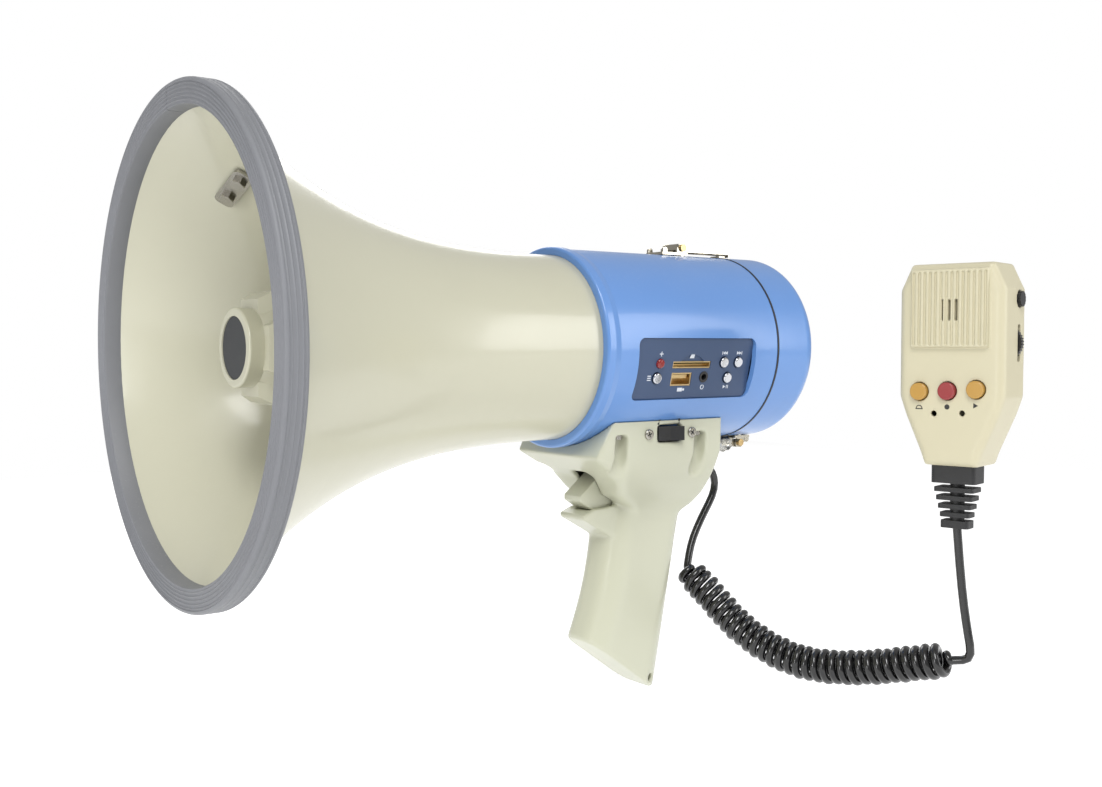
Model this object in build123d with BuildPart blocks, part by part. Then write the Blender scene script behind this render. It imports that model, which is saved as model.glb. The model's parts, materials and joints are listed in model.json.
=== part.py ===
"""Handheld megaphone with a pistol grip, a battery housing and a fist microphone on a curly cord.

Millimetres, +Z up. +X runs along the horn axis from the mouth to the battery cover, and the microphone
side is -Y. The origin is the middle of the hand grip. A station is a distance behind the mouth face, and
a height is measured from the horn axis.
"""
from math import cos, pi, radians, sin, sqrt, tan
import os
from build123d import *

os.makedirs("parts", exist_ok=True)

# ---------------------------------------------------------------- driving sizes
mouth_x = -256.0             # the mouth face, from the grip's middle
axis_height = 120.0          # the horn axis above the grip's middle

guard_radius = 115.0         # rubber rim guard, outside
guard_opening_radius = 103.5
guard_depth = 10.0

bell_start = 2.0             # the bell's rim sits this far inside the guard
flare_length = 201.0
flare_rise = 65.3
flare_power = 2.79
throat_radius = 49.0
bell_wall = 2.6
spigot_end = 210.0
bulkhead_front = 203.0
bulkhead_thick = 3.0

body_radius = 52.5
body_wall = 3.0
lip_station = 199.0
seam_station = 321.0
rear_end = 354.5
gasket_thick = 1.2

grip_half_width = 16.0
grip_length = 51.0           # front to back
shell_wall = 2.8
saddle_half_width = 36.0
saddle_front = 218.0
saddle_rear = 294.5

cord_diameter = 4.5
coil_diameter = 19.0

fit = 0.1                    # gap where a piece is let into another of the same body
slide_gap = 0.4              # gap between pieces that move past each other

# ---------------------------------------------------------------- planes
side = Plane(origin=(mouth_x, 0, axis_height), x_dir=(1, 0, 0), z_dir=(0, -1, 0))
horn_axis = Axis((0, 0, axis_height), (1, 0, 0))


def across(station, height=0):
    """Plane square to the horn axis: local x is +Y and local y is up."""
    return Plane(origin=(mouth_x + station, 0, axis_height + height), x_dir=(0, 1, 0), z_dir=(1, 0, 0))


def level(height):
    """Level plane at a height from the horn axis: local x is the station and local y is Y."""
    return Plane(origin=(mouth_x, 0, axis_height + height), x_dir=(1, 0, 0), z_dir=(0, 0, 1))


def flank(y):
    """Upright plane at a given Y, facing the microphone side: local x is the station."""
    return Plane(origin=(mouth_x, y, axis_height), x_dir=(1, 0, 0), z_dir=(0, -1, 0))


def save(builder, name):
    builder.part.label = name
    export_step(builder.part, f"parts/{name}.step")


def ring(builder_plane, outer, inner, thick):
    """A flat ring or disc added to the current part, from the plane along its normal."""
    with BuildSketch(builder_plane) as outline:
        Circle(outer)
        if inner > 0:
            Circle(inner, mode=Mode.SUBTRACT)
    extrude(outline.sketch, amount=thick)


# ---------------------------------------------------------------- horn bell
def flare(station):
    """Outer radius of the bell at a station."""
    left = max(0.0, 1 - station / flare_length)
    return throat_radius + flare_rise * left ** flare_power


def flare_slope(station):
    left = max(0.0, 1 - station / flare_length)
    return -flare_rise * flare_power / flare_length * left ** (flare_power - 1)


def flare_inside(station):
    return flare(station) - bell_wall * sqrt(1 + flare_slope(station) ** 2)


flare_stations = [bell_start + (flare_length - bell_start) * i / 9 for i in range(10)]

# the strap plate is bolted through the bell, a little off the top on the far side
strap_station = 41.0
strap_angle = 20.0
strap_bolt_spread = 15.0
strap_bolt_radius = 2.0
bell_tilt = flare_slope(strap_station)
tilt_length = sqrt(1 + bell_tilt ** 2)
strap_normal = Vector(
    -bell_tilt / tilt_length,
    sin(radians(strap_angle)) / tilt_length,
    cos(radians(strap_angle)) / tilt_length,
)


def strap_plane(radius):
    """Plane tangent to the bell at the strap plate: local x runs round the bell."""
    angle = radians(strap_angle)
    point = (mouth_x + strap_station, radius * sin(angle), axis_height + radius * cos(angle))
    return Plane(origin=point, x_dir=(0, cos(angle), -sin(angle)), z_dir=strap_normal)


horn_screw_circle = 41.0
horn_screw_radius = 1.5
air_way_radius = 36.0

with BuildPart() as horn_bell:
    with BuildSketch(side):
        with BuildLine():
            outer = Spline([(s, flare(s)) for s in flare_stations])
            inner = Spline([(s, flare_inside(s)) for s in flare_stations])
            inside = throat_radius - bell_wall
            rim_line = Line(outer @ 0, inner @ 0)
            Polyline(
                outer @ 1,
                (spigot_end, throat_radius),
                (spigot_end, inside),
                (bulkhead_front + bulkhead_thick, inside),
                (bulkhead_front + bulkhead_thick, air_way_radius),
                (bulkhead_front, air_way_radius),
                (bulkhead_front, inside),
                inner @ 1,
            )
        make_face()
    revolve(axis=horn_axis)
    with Locations(across(bulkhead_front)):
        with PolarLocations(horn_screw_circle, 4, start_angle=45):
            Hole(horn_screw_radius, depth=20)
    with BuildSketch(strap_plane(flare(strap_station)).offset(-15)):
        with GridLocations(strap_bolt_spread, 0, 2, 1):
            Circle(strap_bolt_radius)
    extrude(amount=30, mode=Mode.SUBTRACT)
save(horn_bell, "horn_bell")

# ---------------------------------------------------------------- rim guard
groove_radius = 0.55
with BuildPart() as rim_guard:
    with BuildSketch(side):
        with BuildLine():
            Polyline(
                (0, guard_opening_radius),
                (0, guard_radius),
                (guard_depth, guard_radius),
                (guard_depth, guard_opening_radius),
                close=True,
            )
        face = make_face()
        fillet(face.vertices().sort_by(Axis.X)[:2], 1.6)
    revolve(axis=horn_axis)
    with BuildSketch(side):
        with Locations(*[(0, guard_opening_radius + 2.3 * (i + 1)) for i in range(4)]):
            Circle(groove_radius)
        with Locations((guard_depth * 0.55, guard_radius)):
            Circle(groove_radius)
    revolve(axis=horn_axis, mode=Mode.SUBTRACT)
    add(horn_bell.part, mode=Mode.SUBTRACT)
save(rim_guard, "rim_guard")

# ---------------------------------------------------------------- reflector pod in the mouth
pod_ring_front = 26.6
pod_ring_radius = 18.0
pod_disc_radius = 14.2
pod_shoulder = 40.0
pod_end = 92.0
lobe_reach = 25.0
lobe_half_width = 13.0
pod_cavity_radius = 18.5
tube_radius = 13.9
tube_front = 64.0
rib_front = 70.0
rib_thick = 2.2

with BuildPart() as reflector:
    with BuildSketch(across(pod_shoulder)) as cross:
        Rectangle(2 * lobe_reach, 2 * lobe_half_width)
        Rectangle(2 * lobe_half_width, 2 * lobe_reach)
        Circle(21)
    extrude(amount=pod_end - pod_shoulder)
    extrude(cross.sketch, amount=-6, taper=28)
    with BuildSketch(across(pod_shoulder + 2)):
        Rectangle(2 * lobe_reach + 1.6, 2 * lobe_half_width - 5)
        Rectangle(2 * lobe_half_width - 5, 2 * lobe_reach + 1.6)
    extrude(amount=pod_end - pod_shoulder - 2)
    ring(across(pod_ring_front), pod_ring_radius, 0, pod_shoulder - pod_ring_front)
    ring_edge = reflector.edges().filter_by(GeomType.CIRCLE).sort_by(Axis.X)[0]
    fillet(ring_edge, 1.2)
    with BuildSketch(across(pod_ring_front)):
        Circle(pod_disc_radius + fit)
    extrude(amount=1.8, mode=Mode.SUBTRACT)
    with BuildSketch(across(pod_shoulder)):
        Circle(pod_cavity_radius)
    extrude(amount=pod_end - pod_shoulder, mode=Mode.SUBTRACT)
    with BuildSketch(across(rib_front)):
        Rectangle(2 * pod_cavity_radius + 1, rib_thick)
        Rectangle(rib_thick, 2 * pod_cavity_radius + 1)
        Circle(tube_radius, mode=Mode.SUBTRACT)
    extrude(amount=pod_end - rib_front)
save(reflector, "reflector")

with BuildPart() as reflector_disc:
    ring(across(pod_ring_front + 0.6), pod_disc_radius, 0, 1.2)
save(reflector_disc, "reflector_disc")

# ---------------------------------------------------------------- tone tube and driver
tube_bore = 12.0
tube_flange_radius = air_way_radius - 0.5
with BuildPart() as tone_tube:
    with BuildSketch(side):
        with BuildLine():
            Polyline(
                (tube_front, tube_bore),
                (tube_front, tube_radius),
                (110, tube_radius),
                (bulkhead_front, tube_radius + 7),
                (bulkhead_front, tube_flange_radius),
                (bulkhead_front + bulkhead_thick, tube_flange_radius),
                (bulkhead_front + bulkhead_thick, tube_bore),
                close=True,
            )
        make_face()
    revolve(axis=horn_axis)
    with BuildSketch(across(bulkhead_front - 1)):
        with PolarLocations(29, 4, start_angle=0):
            SlotOverall(22, 9, rotation=90)
    extrude(amount=bulkhead_thick + 2, mode=Mode.SUBTRACT)
save(tone_tube, "tone_tube")

driver_front = bulkhead_front + bulkhead_thick
frame_thick = 4.0
magnet_radius = 36.0
magnet_thick = 18.0
coil_radius = 22.0
with BuildPart() as driver_frame:
    ring(across(driver_front), throat_radius - bell_wall - 0.4, 11, frame_thick)
    ring(across(driver_front + frame_thick), magnet_radius, 24, 4)
    with Locations(across(driver_front)):
        with PolarLocations(horn_screw_circle, 4, start_angle=45):
            Hole(horn_screw_radius, depth=20)
save(driver_frame, "driver_frame")

with BuildPart() as driver_diaphragm:
    with BuildSketch(side):
        with BuildLine():
            dome_foot = driver_front + frame_thick + 0.2
            dome = [(0, coil_radius), (1.4, coil_radius * 0.7), (2.8, coil_radius * 0.35), (3.2, 0)]
            front_face = [(dome_foot + rise, radius) for rise, radius in dome]
            rear_face = [(dome_foot + rise + 0.4, radius) for rise, radius in dome]
            Polyline(*front_face, *reversed(rear_face), close=True)
        make_face()
    revolve(axis=horn_axis)
save(driver_diaphragm, "driver_diaphragm")

magnet_front = driver_front + frame_thick + 4
with BuildPart() as driver_magnet:
    ring(across(magnet_front), magnet_radius, 24, magnet_thick)
    ring(across(magnet_front + magnet_thick), magnet_radius - 2, 0, 5)
    ring(across(magnet_front + magnet_thick), 14, 0, -magnet_thick)
save(driver_magnet, "driver_magnet")

with BuildPart() as horn_screws:
    with BuildSketch(across(driver_front + frame_thick)):
        with PolarLocations(horn_screw_circle, 4, start_angle=45):
            Circle(3)
    extrude(amount=2)
    with BuildSketch(across(bulkhead_front + 0.5)):
        with PolarLocations(horn_screw_circle, 4, start_angle=45):
            Circle(horn_screw_radius)
    extrude(amount=driver_front + frame_thick - bulkhead_front - 0.5)
save(horn_screws, "horn_screws")

# ---------------------------------------------------------------- strap plate, bolts, lug and ring
plate_long = 30.0
plate_wide = 9.5
plate_thick = 1.5
outer_plate = strap_plane(flare(strap_station)).offset(0.3)
inner_plate = strap_plane(flare(strap_station)).offset(-bell_wall - 1.9)
with BuildPart() as strap_plate:
    with BuildSketch(inner_plate):
        RectangleRounded(plate_long, plate_wide, 3)
        with GridLocations(strap_bolt_spread, 0, 2, 1):
            Circle(strap_bolt_radius, mode=Mode.SUBTRACT)
    extrude(amount=-plate_thick)
save(strap_plate, "strap_plate")

lug_eye_height = 9.0
lug_eye_radius = 2.6
with BuildPart() as strap_lug:
    with BuildSketch(outer_plate):
        RectangleRounded(plate_long, plate_wide, 3)
        with GridLocations(strap_bolt_spread, 0, 2, 1):
            Circle(strap_bolt_radius, mode=Mode.SUBTRACT)
    extrude(amount=plate_thick)
    eye_plane = Plane(outer_plate.origin, x_dir=outer_plate.x_dir, z_dir=outer_plate.y_dir)
    with BuildSketch(eye_plane.offset(-1.5)):
        with Locations((0, -lug_eye_height)):
            Circle(5)
        with Locations((0, -lug_eye_height / 2)):
            Rectangle(8, lug_eye_height)
        with Locations((0, -lug_eye_height)):
            Circle(lug_eye_radius, mode=Mode.SUBTRACT)
    extrude(amount=3)
save(strap_lug, "strap_lug")

with BuildPart() as strap_bolts:
    for offset_x in (-strap_bolt_spread / 2, strap_bolt_spread / 2):
        with BuildSketch(inner_plate.offset(-plate_thick - 1.2)):
            with Locations((offset_x, 0)):
                Circle(strap_bolt_radius)
        extrude(amount=bell_wall + 2 * plate_thick + 5)
        with BuildSketch(inner_plate.offset(-plate_thick)):
            with Locations((offset_x, 0)):
                RegularPolygon(3.6, 6)
        extrude(amount=-2.4)
        with BuildSketch(outer_plate.offset(plate_thick)):
            with Locations((offset_x, 0)):
                Circle(3.4)
        extrude(amount=2.2)
save(strap_bolts, "strap_bolts")

# the ring lies over to the far side from the lug's eye, swung this far from upright about the eye
ring_radius = 11.0
ring_wire = 1.5
ring_lie = radians(113)
eye_centre = outer_plate.origin + outer_plate.z_dir * lug_eye_height
ring_reach = outer_plate.z_dir * cos(ring_lie) + outer_plate.x_dir * sin(ring_lie)
ring_normal = outer_plate.x_dir * cos(ring_lie) - outer_plate.z_dir * sin(ring_lie)
ring_centre = eye_centre + ring_reach * (ring_radius - 0.8)
with BuildPart() as strap_ring:
    ring_section = Plane(
        ring_centre + ring_reach * ring_radius, x_dir=ring_reach, z_dir=outer_plate.y_dir)
    with BuildSketch(ring_section):
        Circle(ring_wire)
    revolve(axis=Axis(tuple(ring_centre), tuple(ring_normal)))
save(strap_ring, "strap_ring")

# ---------------------------------------------------------------- main housing
panel_angle = 13.0           # the panel faces this far below level
panel_station = 262.0
panel_width = 84.0
panel_height = 33.0
panel_face = 49.0            # panel face, from the horn axis
panel_thick = 2.5
panel_corner = 4.0
panel_normal = Vector(0, -cos(radians(panel_angle)), -sin(radians(panel_angle)))


def panel_plane(distance):
    """Plane of the control panel at a distance from the horn axis: local x is +X, local y is up."""
    centre = Vector(mouth_x + panel_station, 0, axis_height) + panel_normal * distance
    return Plane(origin=centre, x_dir=(1, 0, 0), z_dir=panel_normal)


spigot_clearance = 0.15
locating_ring_radius = body_radius - body_wall - slide_gap
wire_hole_radius = 5.0
wire_hole_station = 256.0
saddle_screw_stations = (222.5, 278.5)
saddle_screw_y = 31.5
saddle_screw_radius = 1.5

with BuildPart() as main_housing:
    with BuildSketch(side):
        with BuildLine():
            inside = body_radius - body_wall
            Polyline(
                (lip_station, throat_radius + spigot_clearance),
                (lip_station, body_radius + 0.9),
                (lip_station + 5, body_radius + 0.9),
                (lip_station + 9, body_radius),
                (seam_station, body_radius),
                (seam_station, locating_ring_radius),
                (seam_station + 6, locating_ring_radius),
                (seam_station + 6, locating_ring_radius - 2.3),
                (seam_station - 5, locating_ring_radius - 2.3),
                (seam_station - 5, inside),
                (lip_station + 12, inside),
                (lip_station + 12, throat_radius + spigot_clearance),
                close=True,
            )
        face = make_face()
        fillet(face.vertices().sort_by(Axis.X)[:2].sort_by(Axis.Y)[-1], 1.5)
    revolve(axis=horn_axis)
    with BuildSketch(panel_plane(40)):
        RectangleRounded(panel_width + 2 * fit, panel_height + 2 * fit, panel_corner)
    extrude(amount=20, mode=Mode.SUBTRACT)
    with BuildSketch(level(-body_radius - 2)):
        with Locations((wire_hole_station, 0)):
            Circle(wire_hole_radius)
        for screw_y in (-saddle_screw_y, saddle_screw_y):
            with Locations(*[(s, screw_y) for s in saddle_screw_stations]):
                Circle(saddle_screw_radius)
    extrude(amount=18, mode=Mode.SUBTRACT)
save(main_housing, "main_housing")

with BuildPart() as seam_gasket:
    ring(across(seam_station), body_radius + 0.3, locating_ring_radius + 0.05, gasket_thick)
save(seam_gasket, "seam_gasket")

cover_front = seam_station + gasket_thick + slide_gap
with BuildPart() as rear_cover:
    with BuildSketch(side):
        with BuildLine():
            inside = body_radius - body_wall
            Polyline(
                (cover_front, inside),
                (cover_front, body_radius),
                (rear_end, body_radius),
                (rear_end, 0),
                (rear_end - body_wall, 0),
                (rear_end - body_wall, inside),
                close=True,
            )
        face = make_face()
        rear_corner = face.vertices().filter_by_position(Axis.Y, body_radius - 1, body_radius + 1)
        fillet(rear_corner.sort_by(Axis.X)[-1], 9)
        front_corner = face.vertices().sort_by(Axis.X)[:2].sort_by(Axis.Y)[-1]
        fillet(front_corner, 0.8)
    revolve(axis=horn_axis)
save(rear_cover, "rear_cover")


# ---------------------------------------------------------------- draw latches
latch_half_width = 7.0
latch_pin_radius = 1.4
latch_pin_height = 4.2       # above the shell


def latch_plane(top, station, forward):
    """Plane of a latch's side view: local x runs from its pin to its hook, local y away from the shell."""
    rise = 1 if top else -1
    origin = (mouth_x + station, 0, axis_height + rise * body_radius)
    along = 1 if forward else -1
    return Plane(origin=origin, x_dir=(along, 0, 0), z_dir=(0, -rise * along, 0))


def latch_base(plane, tail):
    """Riveted base plate with two ears that carry the pin and a turned-up tail."""
    with BuildSketch(plane) as plate:
        with Locations(((4 - tail) / 2, 0.75)):
            Rectangle(4 + tail, 1.5)
    extrude(plate.sketch, amount=latch_half_width, both=True)
    for ear_y in (-latch_half_width + 0.7, latch_half_width - 0.7):
        with BuildSketch(plane.offset(ear_y)) as ear:
            Circle(1)
            with Locations((0, latch_pin_height)):
                Circle(2.9)
            with Locations((-1, latch_pin_height / 2)):
                Rectangle(6, latch_pin_height)
            with Locations((2 - tail, 2.6)):
                Circle(1.6)
            with Locations((2 - tail, 1.5)):
                Rectangle(3.2, 2)
            with Locations((0, latch_pin_height)):
                Circle(latch_pin_radius, mode=Mode.SUBTRACT)
        extrude(ear.sketch, amount=0.7, both=True)


def latch_lever(plane, length):
    """Tapered folded lever with a hooked tip, free to turn on the pin."""
    with BuildSketch(plane) as blank:
        with BuildLine():
            Polyline(
                (-2.4, 3.2), (-2.4, 6.4), (1.5, 7.0), (length * 0.72, 4.4), (length, 3.0),
                (length, 0.5), (length - 1.2, 0.5), (length - 1.2, 2.0), (6, 2.0), (3, 1.9),
                close=True,
            )
        make_face()
        with Locations((0, latch_pin_height)):
            Circle(latch_pin_radius + 0.08, mode=Mode.SUBTRACT)
    extrude(blank.sketch, amount=latch_half_width - 1.8, both=True)
    with BuildSketch(plane) as hollow:
        with BuildLine():
            Polyline(
                (1.5, -1), (1.5, 5.4), (length * 0.7, 3.1), (length - 2, 2.2), (length - 2, -1), close=True)
        make_face()
    extrude(hollow.sketch, amount=latch_half_width - 2.8, both=True, mode=Mode.SUBTRACT)


def latch_pin(plane):
    """Riveted pin with a head at each end."""
    with BuildSketch(plane.offset(-latch_half_width - 0.6)) as shank:
        with Locations((0, latch_pin_height)):
            Circle(latch_pin_radius)
    extrude(shank.sketch, amount=2 * latch_half_width + 1.2)
    for end in (-latch_half_width - 1.2, latch_half_width):
        with BuildSketch(plane.offset(end)) as head:
            with Locations((0, latch_pin_height)):
                Circle(2.1)
        extrude(head.sketch, amount=1.2)


def latch_catch(plane, length):
    """Catch plate whose lip the lever's hook drops in front of."""
    with BuildSketch(plane) as plate:
        with Locations((length - 4.6, 0.6)):
            Rectangle(5.2, 1.2)
    extrude(plate.sketch, amount=latch_half_width - 3.4, both=True)


top_latch = latch_plane(True, 291.0, True)
top_latch_length = 39.5
top_latch_tail = 15.0
lower_latch = latch_plane(False, 338.0, False)
lower_latch_length = 26.0
lower_latch_tail = 8.0

for latch_name, plane, length, tail in (
    ("top_latch", top_latch, top_latch_length, top_latch_tail),
    ("lower_latch", lower_latch, lower_latch_length, lower_latch_tail),
):
    with BuildPart() as base:
        latch_base(plane, tail)
        with BuildSketch(across(190)):
            Circle(body_radius)
        extrude(amount=200, mode=Mode.SUBTRACT)
    save(base, f"{latch_name}_base")
    with BuildPart() as lever:
        latch_lever(plane, length)
    save(lever, f"{latch_name}_lever")
    with BuildPart() as pin:
        latch_pin(plane)
    save(pin, f"{latch_name}_pin")
    with BuildPart() as catch:
        latch_catch(plane, length)
        with BuildSketch(across(190)):
            Circle(body_radius)
        extrude(amount=200, mode=Mode.SUBTRACT)
    save(catch, f"{latch_name}_catch")

# ---------------------------------------------------------------- control panel
led_place = (-24.5, 2.8)
mode_button_place = (-25.5, -5.0)
card_slot_place = (-1.8, 1.9)
usb_place = (-8.0, -5.9)
aux_place = (8.0, -4.8)
button_places = {
    "mode_button": mode_button_place,
    "previous_button": (21.3, 3.2),
    "next_button": (32.0, 3.2),
    "play_button": (25.5, -5.4),
}
button_radius = 2.9
button_travel = 1.0
card_slot_size = (27.0, 3.6)
usb_size = (14.2, 7.0)
aux_radius = 3.0
jack_radius = 1.75
led_radius = 2.6

with BuildPart() as control_panel:
    with BuildSketch(panel_plane(panel_face)):
        RectangleRounded(panel_width, panel_height, panel_corner)
    extrude(amount=-panel_thick)
    fillet(control_panel.faces().sort_by(Axis.Y)[0].edges(), 0.6)
    with BuildSketch(panel_plane(panel_face - 5)):
        with Locations(led_place):
            Circle(led_radius + fit)
        with Locations(*button_places.values()):
            Circle(button_radius + slide_gap)
        with Locations(card_slot_place):
            Rectangle(card_slot_size[0] + 2 * fit, card_slot_size[1] + 2 * fit)
        with Locations(usb_place):
            Rectangle(usb_size[0] + 2 * fit, usb_size[1] + 2 * fit)
        with Locations(aux_place):
            Circle(aux_radius + fit)
    extrude(amount=10, mode=Mode.SUBTRACT)
    with BuildSketch(panel_plane(panel_face)):
        with Locations((card_slot_place[0], card_slot_place[1] - 6)):
            Circle(11.5)
        with Locations((card_slot_place[0], card_slot_place[1] - 18)):
            Rectangle(40, 34, mode=Mode.SUBTRACT)
    extrude(amount=-0.9, mode=Mode.SUBTRACT)
save(control_panel, "control_panel")

board_front = 41.5
with BuildPart() as player_board:
    with BuildSketch(panel_plane(board_front)):
        Rectangle(78, 28)
    extrude(amount=-1.6)
save(player_board, "player_board")

with BuildPart() as status_led:
    with BuildSketch(panel_plane(board_front)):
        with Locations(led_place):
            Circle(led_radius)
    extrude(amount=panel_face - board_front + 1.6)
    fillet(status_led.edges().filter_by(GeomType.CIRCLE).sort_by(Axis.Y)[0], 1.5)
save(status_led, "status_led")

with BuildPart() as card_socket:
    with BuildSketch(panel_plane(board_front)):
        with Locations(card_slot_place):
            Rectangle(*card_slot_size)
            Rectangle(card_slot_size[0] - 1.2, card_slot_size[1] - 1.2, mode=Mode.SUBTRACT)
    extrude(amount=panel_face - board_front - 0.4)
    with BuildSketch(panel_plane(board_front)):
        with Locations((card_slot_place[0], card_slot_place[1] - 0.7)):
            Rectangle(card_slot_size[0] - 1, 0.9)
    extrude(amount=4)
save(card_socket, "card_socket")

with BuildPart() as usb_socket:
    with BuildSketch(panel_plane(board_front)):
        with Locations(usb_place):
            Rectangle(*usb_size)
            Rectangle(usb_size[0] - 1.4, usb_size[1] - 1.4, mode=Mode.SUBTRACT)
    extrude(amount=panel_face - board_front - 0.3)
    with BuildSketch(panel_plane(board_front)):
        with Locations((usb_place[0], usb_place[1] + 1.1)):
            Rectangle(usb_size[0] - 3.4, 2.0)
        with Locations(usb_place):
            Rectangle(usb_size[0] - 1, usb_size[1] - 1)
    extrude(amount=0.8)
    with BuildSketch(panel_plane(board_front)):
        with Locations((usb_place[0], usb_place[1] + 1.1)):
            Rectangle(usb_size[0] - 3.4, 2.0)
    extrude(amount=5.5)
save(usb_socket, "usb_socket")

with BuildPart() as aux_socket:
    with BuildSketch(panel_plane(board_front)):
        with Locations(aux_place):
            Circle(aux_radius)
    extrude(amount=panel_face - board_front + 0.3)
    with BuildSketch(panel_plane(board_front + 0.8)):
        with Locations(aux_place):
            Circle(jack_radius)
    extrude(amount=10, mode=Mode.SUBTRACT)
save(aux_socket, "aux_socket")

button_foot = board_front + button_travel + slide_gap
for button_name, place in button_places.items():
    with BuildPart() as button:
        with BuildSketch(panel_plane(button_foot)):
            with Locations(place):
                Circle(button_radius)
        extrude(amount=panel_face + 1.4 - button_foot)
        fillet(button.edges().filter_by(GeomType.CIRCLE).sort_by(Axis.Y)[0], 0.8)
    save(button, button_name)

# ---------------------------------------------------------------- batteries and their tray
cell_radius = 12.9
cell_length = 50.0
cell_circle = 18.6
cells_front = 246.5
tray_radius = 33.0
tray_front = 242.0
tray_plate = 2.5
tray_end = rear_end - body_wall - slide_gap
contact_radius = 6.0

with BuildPart() as battery_tray:
    ring(across(tray_front), tray_radius, 0, tray_plate)
    ring(across(tray_end - tray_plate), tray_radius, 0, tray_plate)
    with BuildSketch(across(tray_front)):
        Circle(4)
        with PolarLocations(28, 4, start_angle=45):
            Circle(3.8)
    extrude(amount=tray_end - tray_front)
    with BuildSketch(across(tray_front + tray_plate)):
        with PolarLocations(cell_circle, 4):
            Circle(contact_radius)
    extrude(amount=1.2)
    with BuildSketch(across(tray_end - tray_plate)):
        with PolarLocations(cell_circle, 4):
            Circle(contact_radius)
    extrude(amount=-1.2)
save(battery_tray, "battery_tray")

with BuildPart() as battery_cells:
    for row in range(2):
        cell_front = cells_front + row * (cell_length + 0.2)
        with BuildSketch(across(cell_front + 2)):
            with PolarLocations(cell_circle, 4):
                Circle(cell_radius)
        extrude(amount=cell_length - 2)
        with BuildSketch(across(cell_front)):
            with PolarLocations(cell_circle, 4):
                Circle(3.2)
        extrude(amount=2)
save(battery_cells, "battery_cells")

# ---------------------------------------------------------------- handle shells
sole_slope = (191.0 - 157.0) / (264.0 - 217.0)
saddle_outline = [
    (saddle_front, -30), (saddle_front, -37), (saddle_front - 6, -46), (saddle_front - 12, -57.5),
    (226, -71), (231, -80), (255, -93), (279, -94), (290, -89), (saddle_rear, -82), (saddle_rear, -30),
]
saddle_flank_foot = -50.0     # the flanks are upright down to this height
saddle_foot = -99.0           # and run into the grip here


def grip_middle(height):
    """Station of the grip's middle at a height, leaning forward towards the toe."""
    return 260.5 + 0.2 * (height + 103)


def handle_form(inset):
    """The handle's outer shape, or its hollow when inset by the wall. Returns a part."""
    with BuildPart() as form:
        with BuildSketch(side):
            with BuildLine():
                Polyline(*saddle_outline, close=True)
            make_face()
            if inset > 0:
                offset(amount=-inset, kind=Kind.INTERSECTION, mode=Mode.REPLACE)
        extrude(amount=saddle_half_width + 4, both=True)
        if inset == 0:
            across_edges = form.edges().filter_by(Axis.Y)
            under = across_edges.filter_by_position(Axis.Z, axis_height - 96, axis_height - 80)
            fillet(under.sort_by(Axis.X)[-2:], 6)
        with BuildSketch(across(190)):
            with BuildLine():
                flank_edge = saddle_half_width - inset
                foot_edge = grip_half_width - inset
                Line((0, -30), (flank_edge, -30))
                Line((flank_edge, -30), (flank_edge, saddle_flank_foot))
                Spline(
                    (flank_edge, saddle_flank_foot), (flank_edge - 4, -68), (foot_edge + 4.5, -84),
                    (foot_edge, saddle_foot), tangents=((0, -1), (0, -1)),
                )
                Line((foot_edge, saddle_foot), (0, saddle_foot))
                mirror(about=Plane.YZ)
            make_face()
        extrude(amount=130, mode=Mode.INTERSECT)
        with BuildSketch(across(190)):
            Circle(body_radius + fit + inset)
        extrude(amount=130, mode=Mode.SUBTRACT)
    with BuildPart() as grip:
        for height, length, lead in (
            (-70, grip_length + 2, 0), (-103, grip_length, 0), (-135, grip_length, 0),
            (-160, grip_length + 4, -2), (-198, grip_length + 10, -5),
        ):
            middle = grip_middle(height) + lead
            with BuildSketch(level(height)):
                with Locations((middle, 0)):
                    RectangleRounded(length - 2 * inset, 2 * (grip_half_width - inset), 13.5 - inset)
        loft()
        with BuildSketch(side):
            with BuildLine():
                Polyline(
                    (190, -157 + sole_slope * 27 + inset), (217, -157 + inset), (264, -191 + inset),
                    (300, -191 + inset), (300, -240), (190, -240), close=True,
                )
            make_face()
        extrude(amount=40, both=True, mode=Mode.SUBTRACT)
        if inset == 0:
            sole_edges = grip.edges().filter_by_position(Axis.Z, axis_height - 192, axis_height - 150)
            fillet(sole_edges.filter_by(lambda edge: edge.length > 3), 1.8)
    return form.part + grip.part


trigger_half_width = 7.0
trigger_travel = 4.5
ledge_half_width = 11.0
trigger_top = -67.7
trigger_bottom = -88.0

handle_solid = handle_form(0)
handle_hollow = handle_form(shell_wall)

rocker_station = 256.0
rocker_height = -46.0
rocker_length = 17.0
rocker_width = 8.0
rocker_screw_stations = (rocker_station - 15.4, rocker_station + 15.4)
strap_hole_station = 261.0
strap_hole_height = -184.0
strap_hole_radius = 2.2
gland_height = -68.5
gland_radius = 5.0
gland_length = 11.0
gland_bore = cord_diameter / 2
grip_screw_places = ((262, -104, 16.0), (254, -146, 16.0), (275, -70, 30.2))
grip_screw_radius = 2.6
pocket_radius = 4.2

with BuildPart() as corner_columns:
    with BuildSketch(level(-80)):
        for wall in (-1, 1):
            with Locations(*[(s, wall * saddle_screw_y) for s in saddle_screw_stations]):
                Rectangle(2 * pocket_radius + 2.4, 2 * pocket_radius + 5)
    extrude(amount=60)
    add(handle_solid, mode=Mode.INTERSECT)

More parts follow.
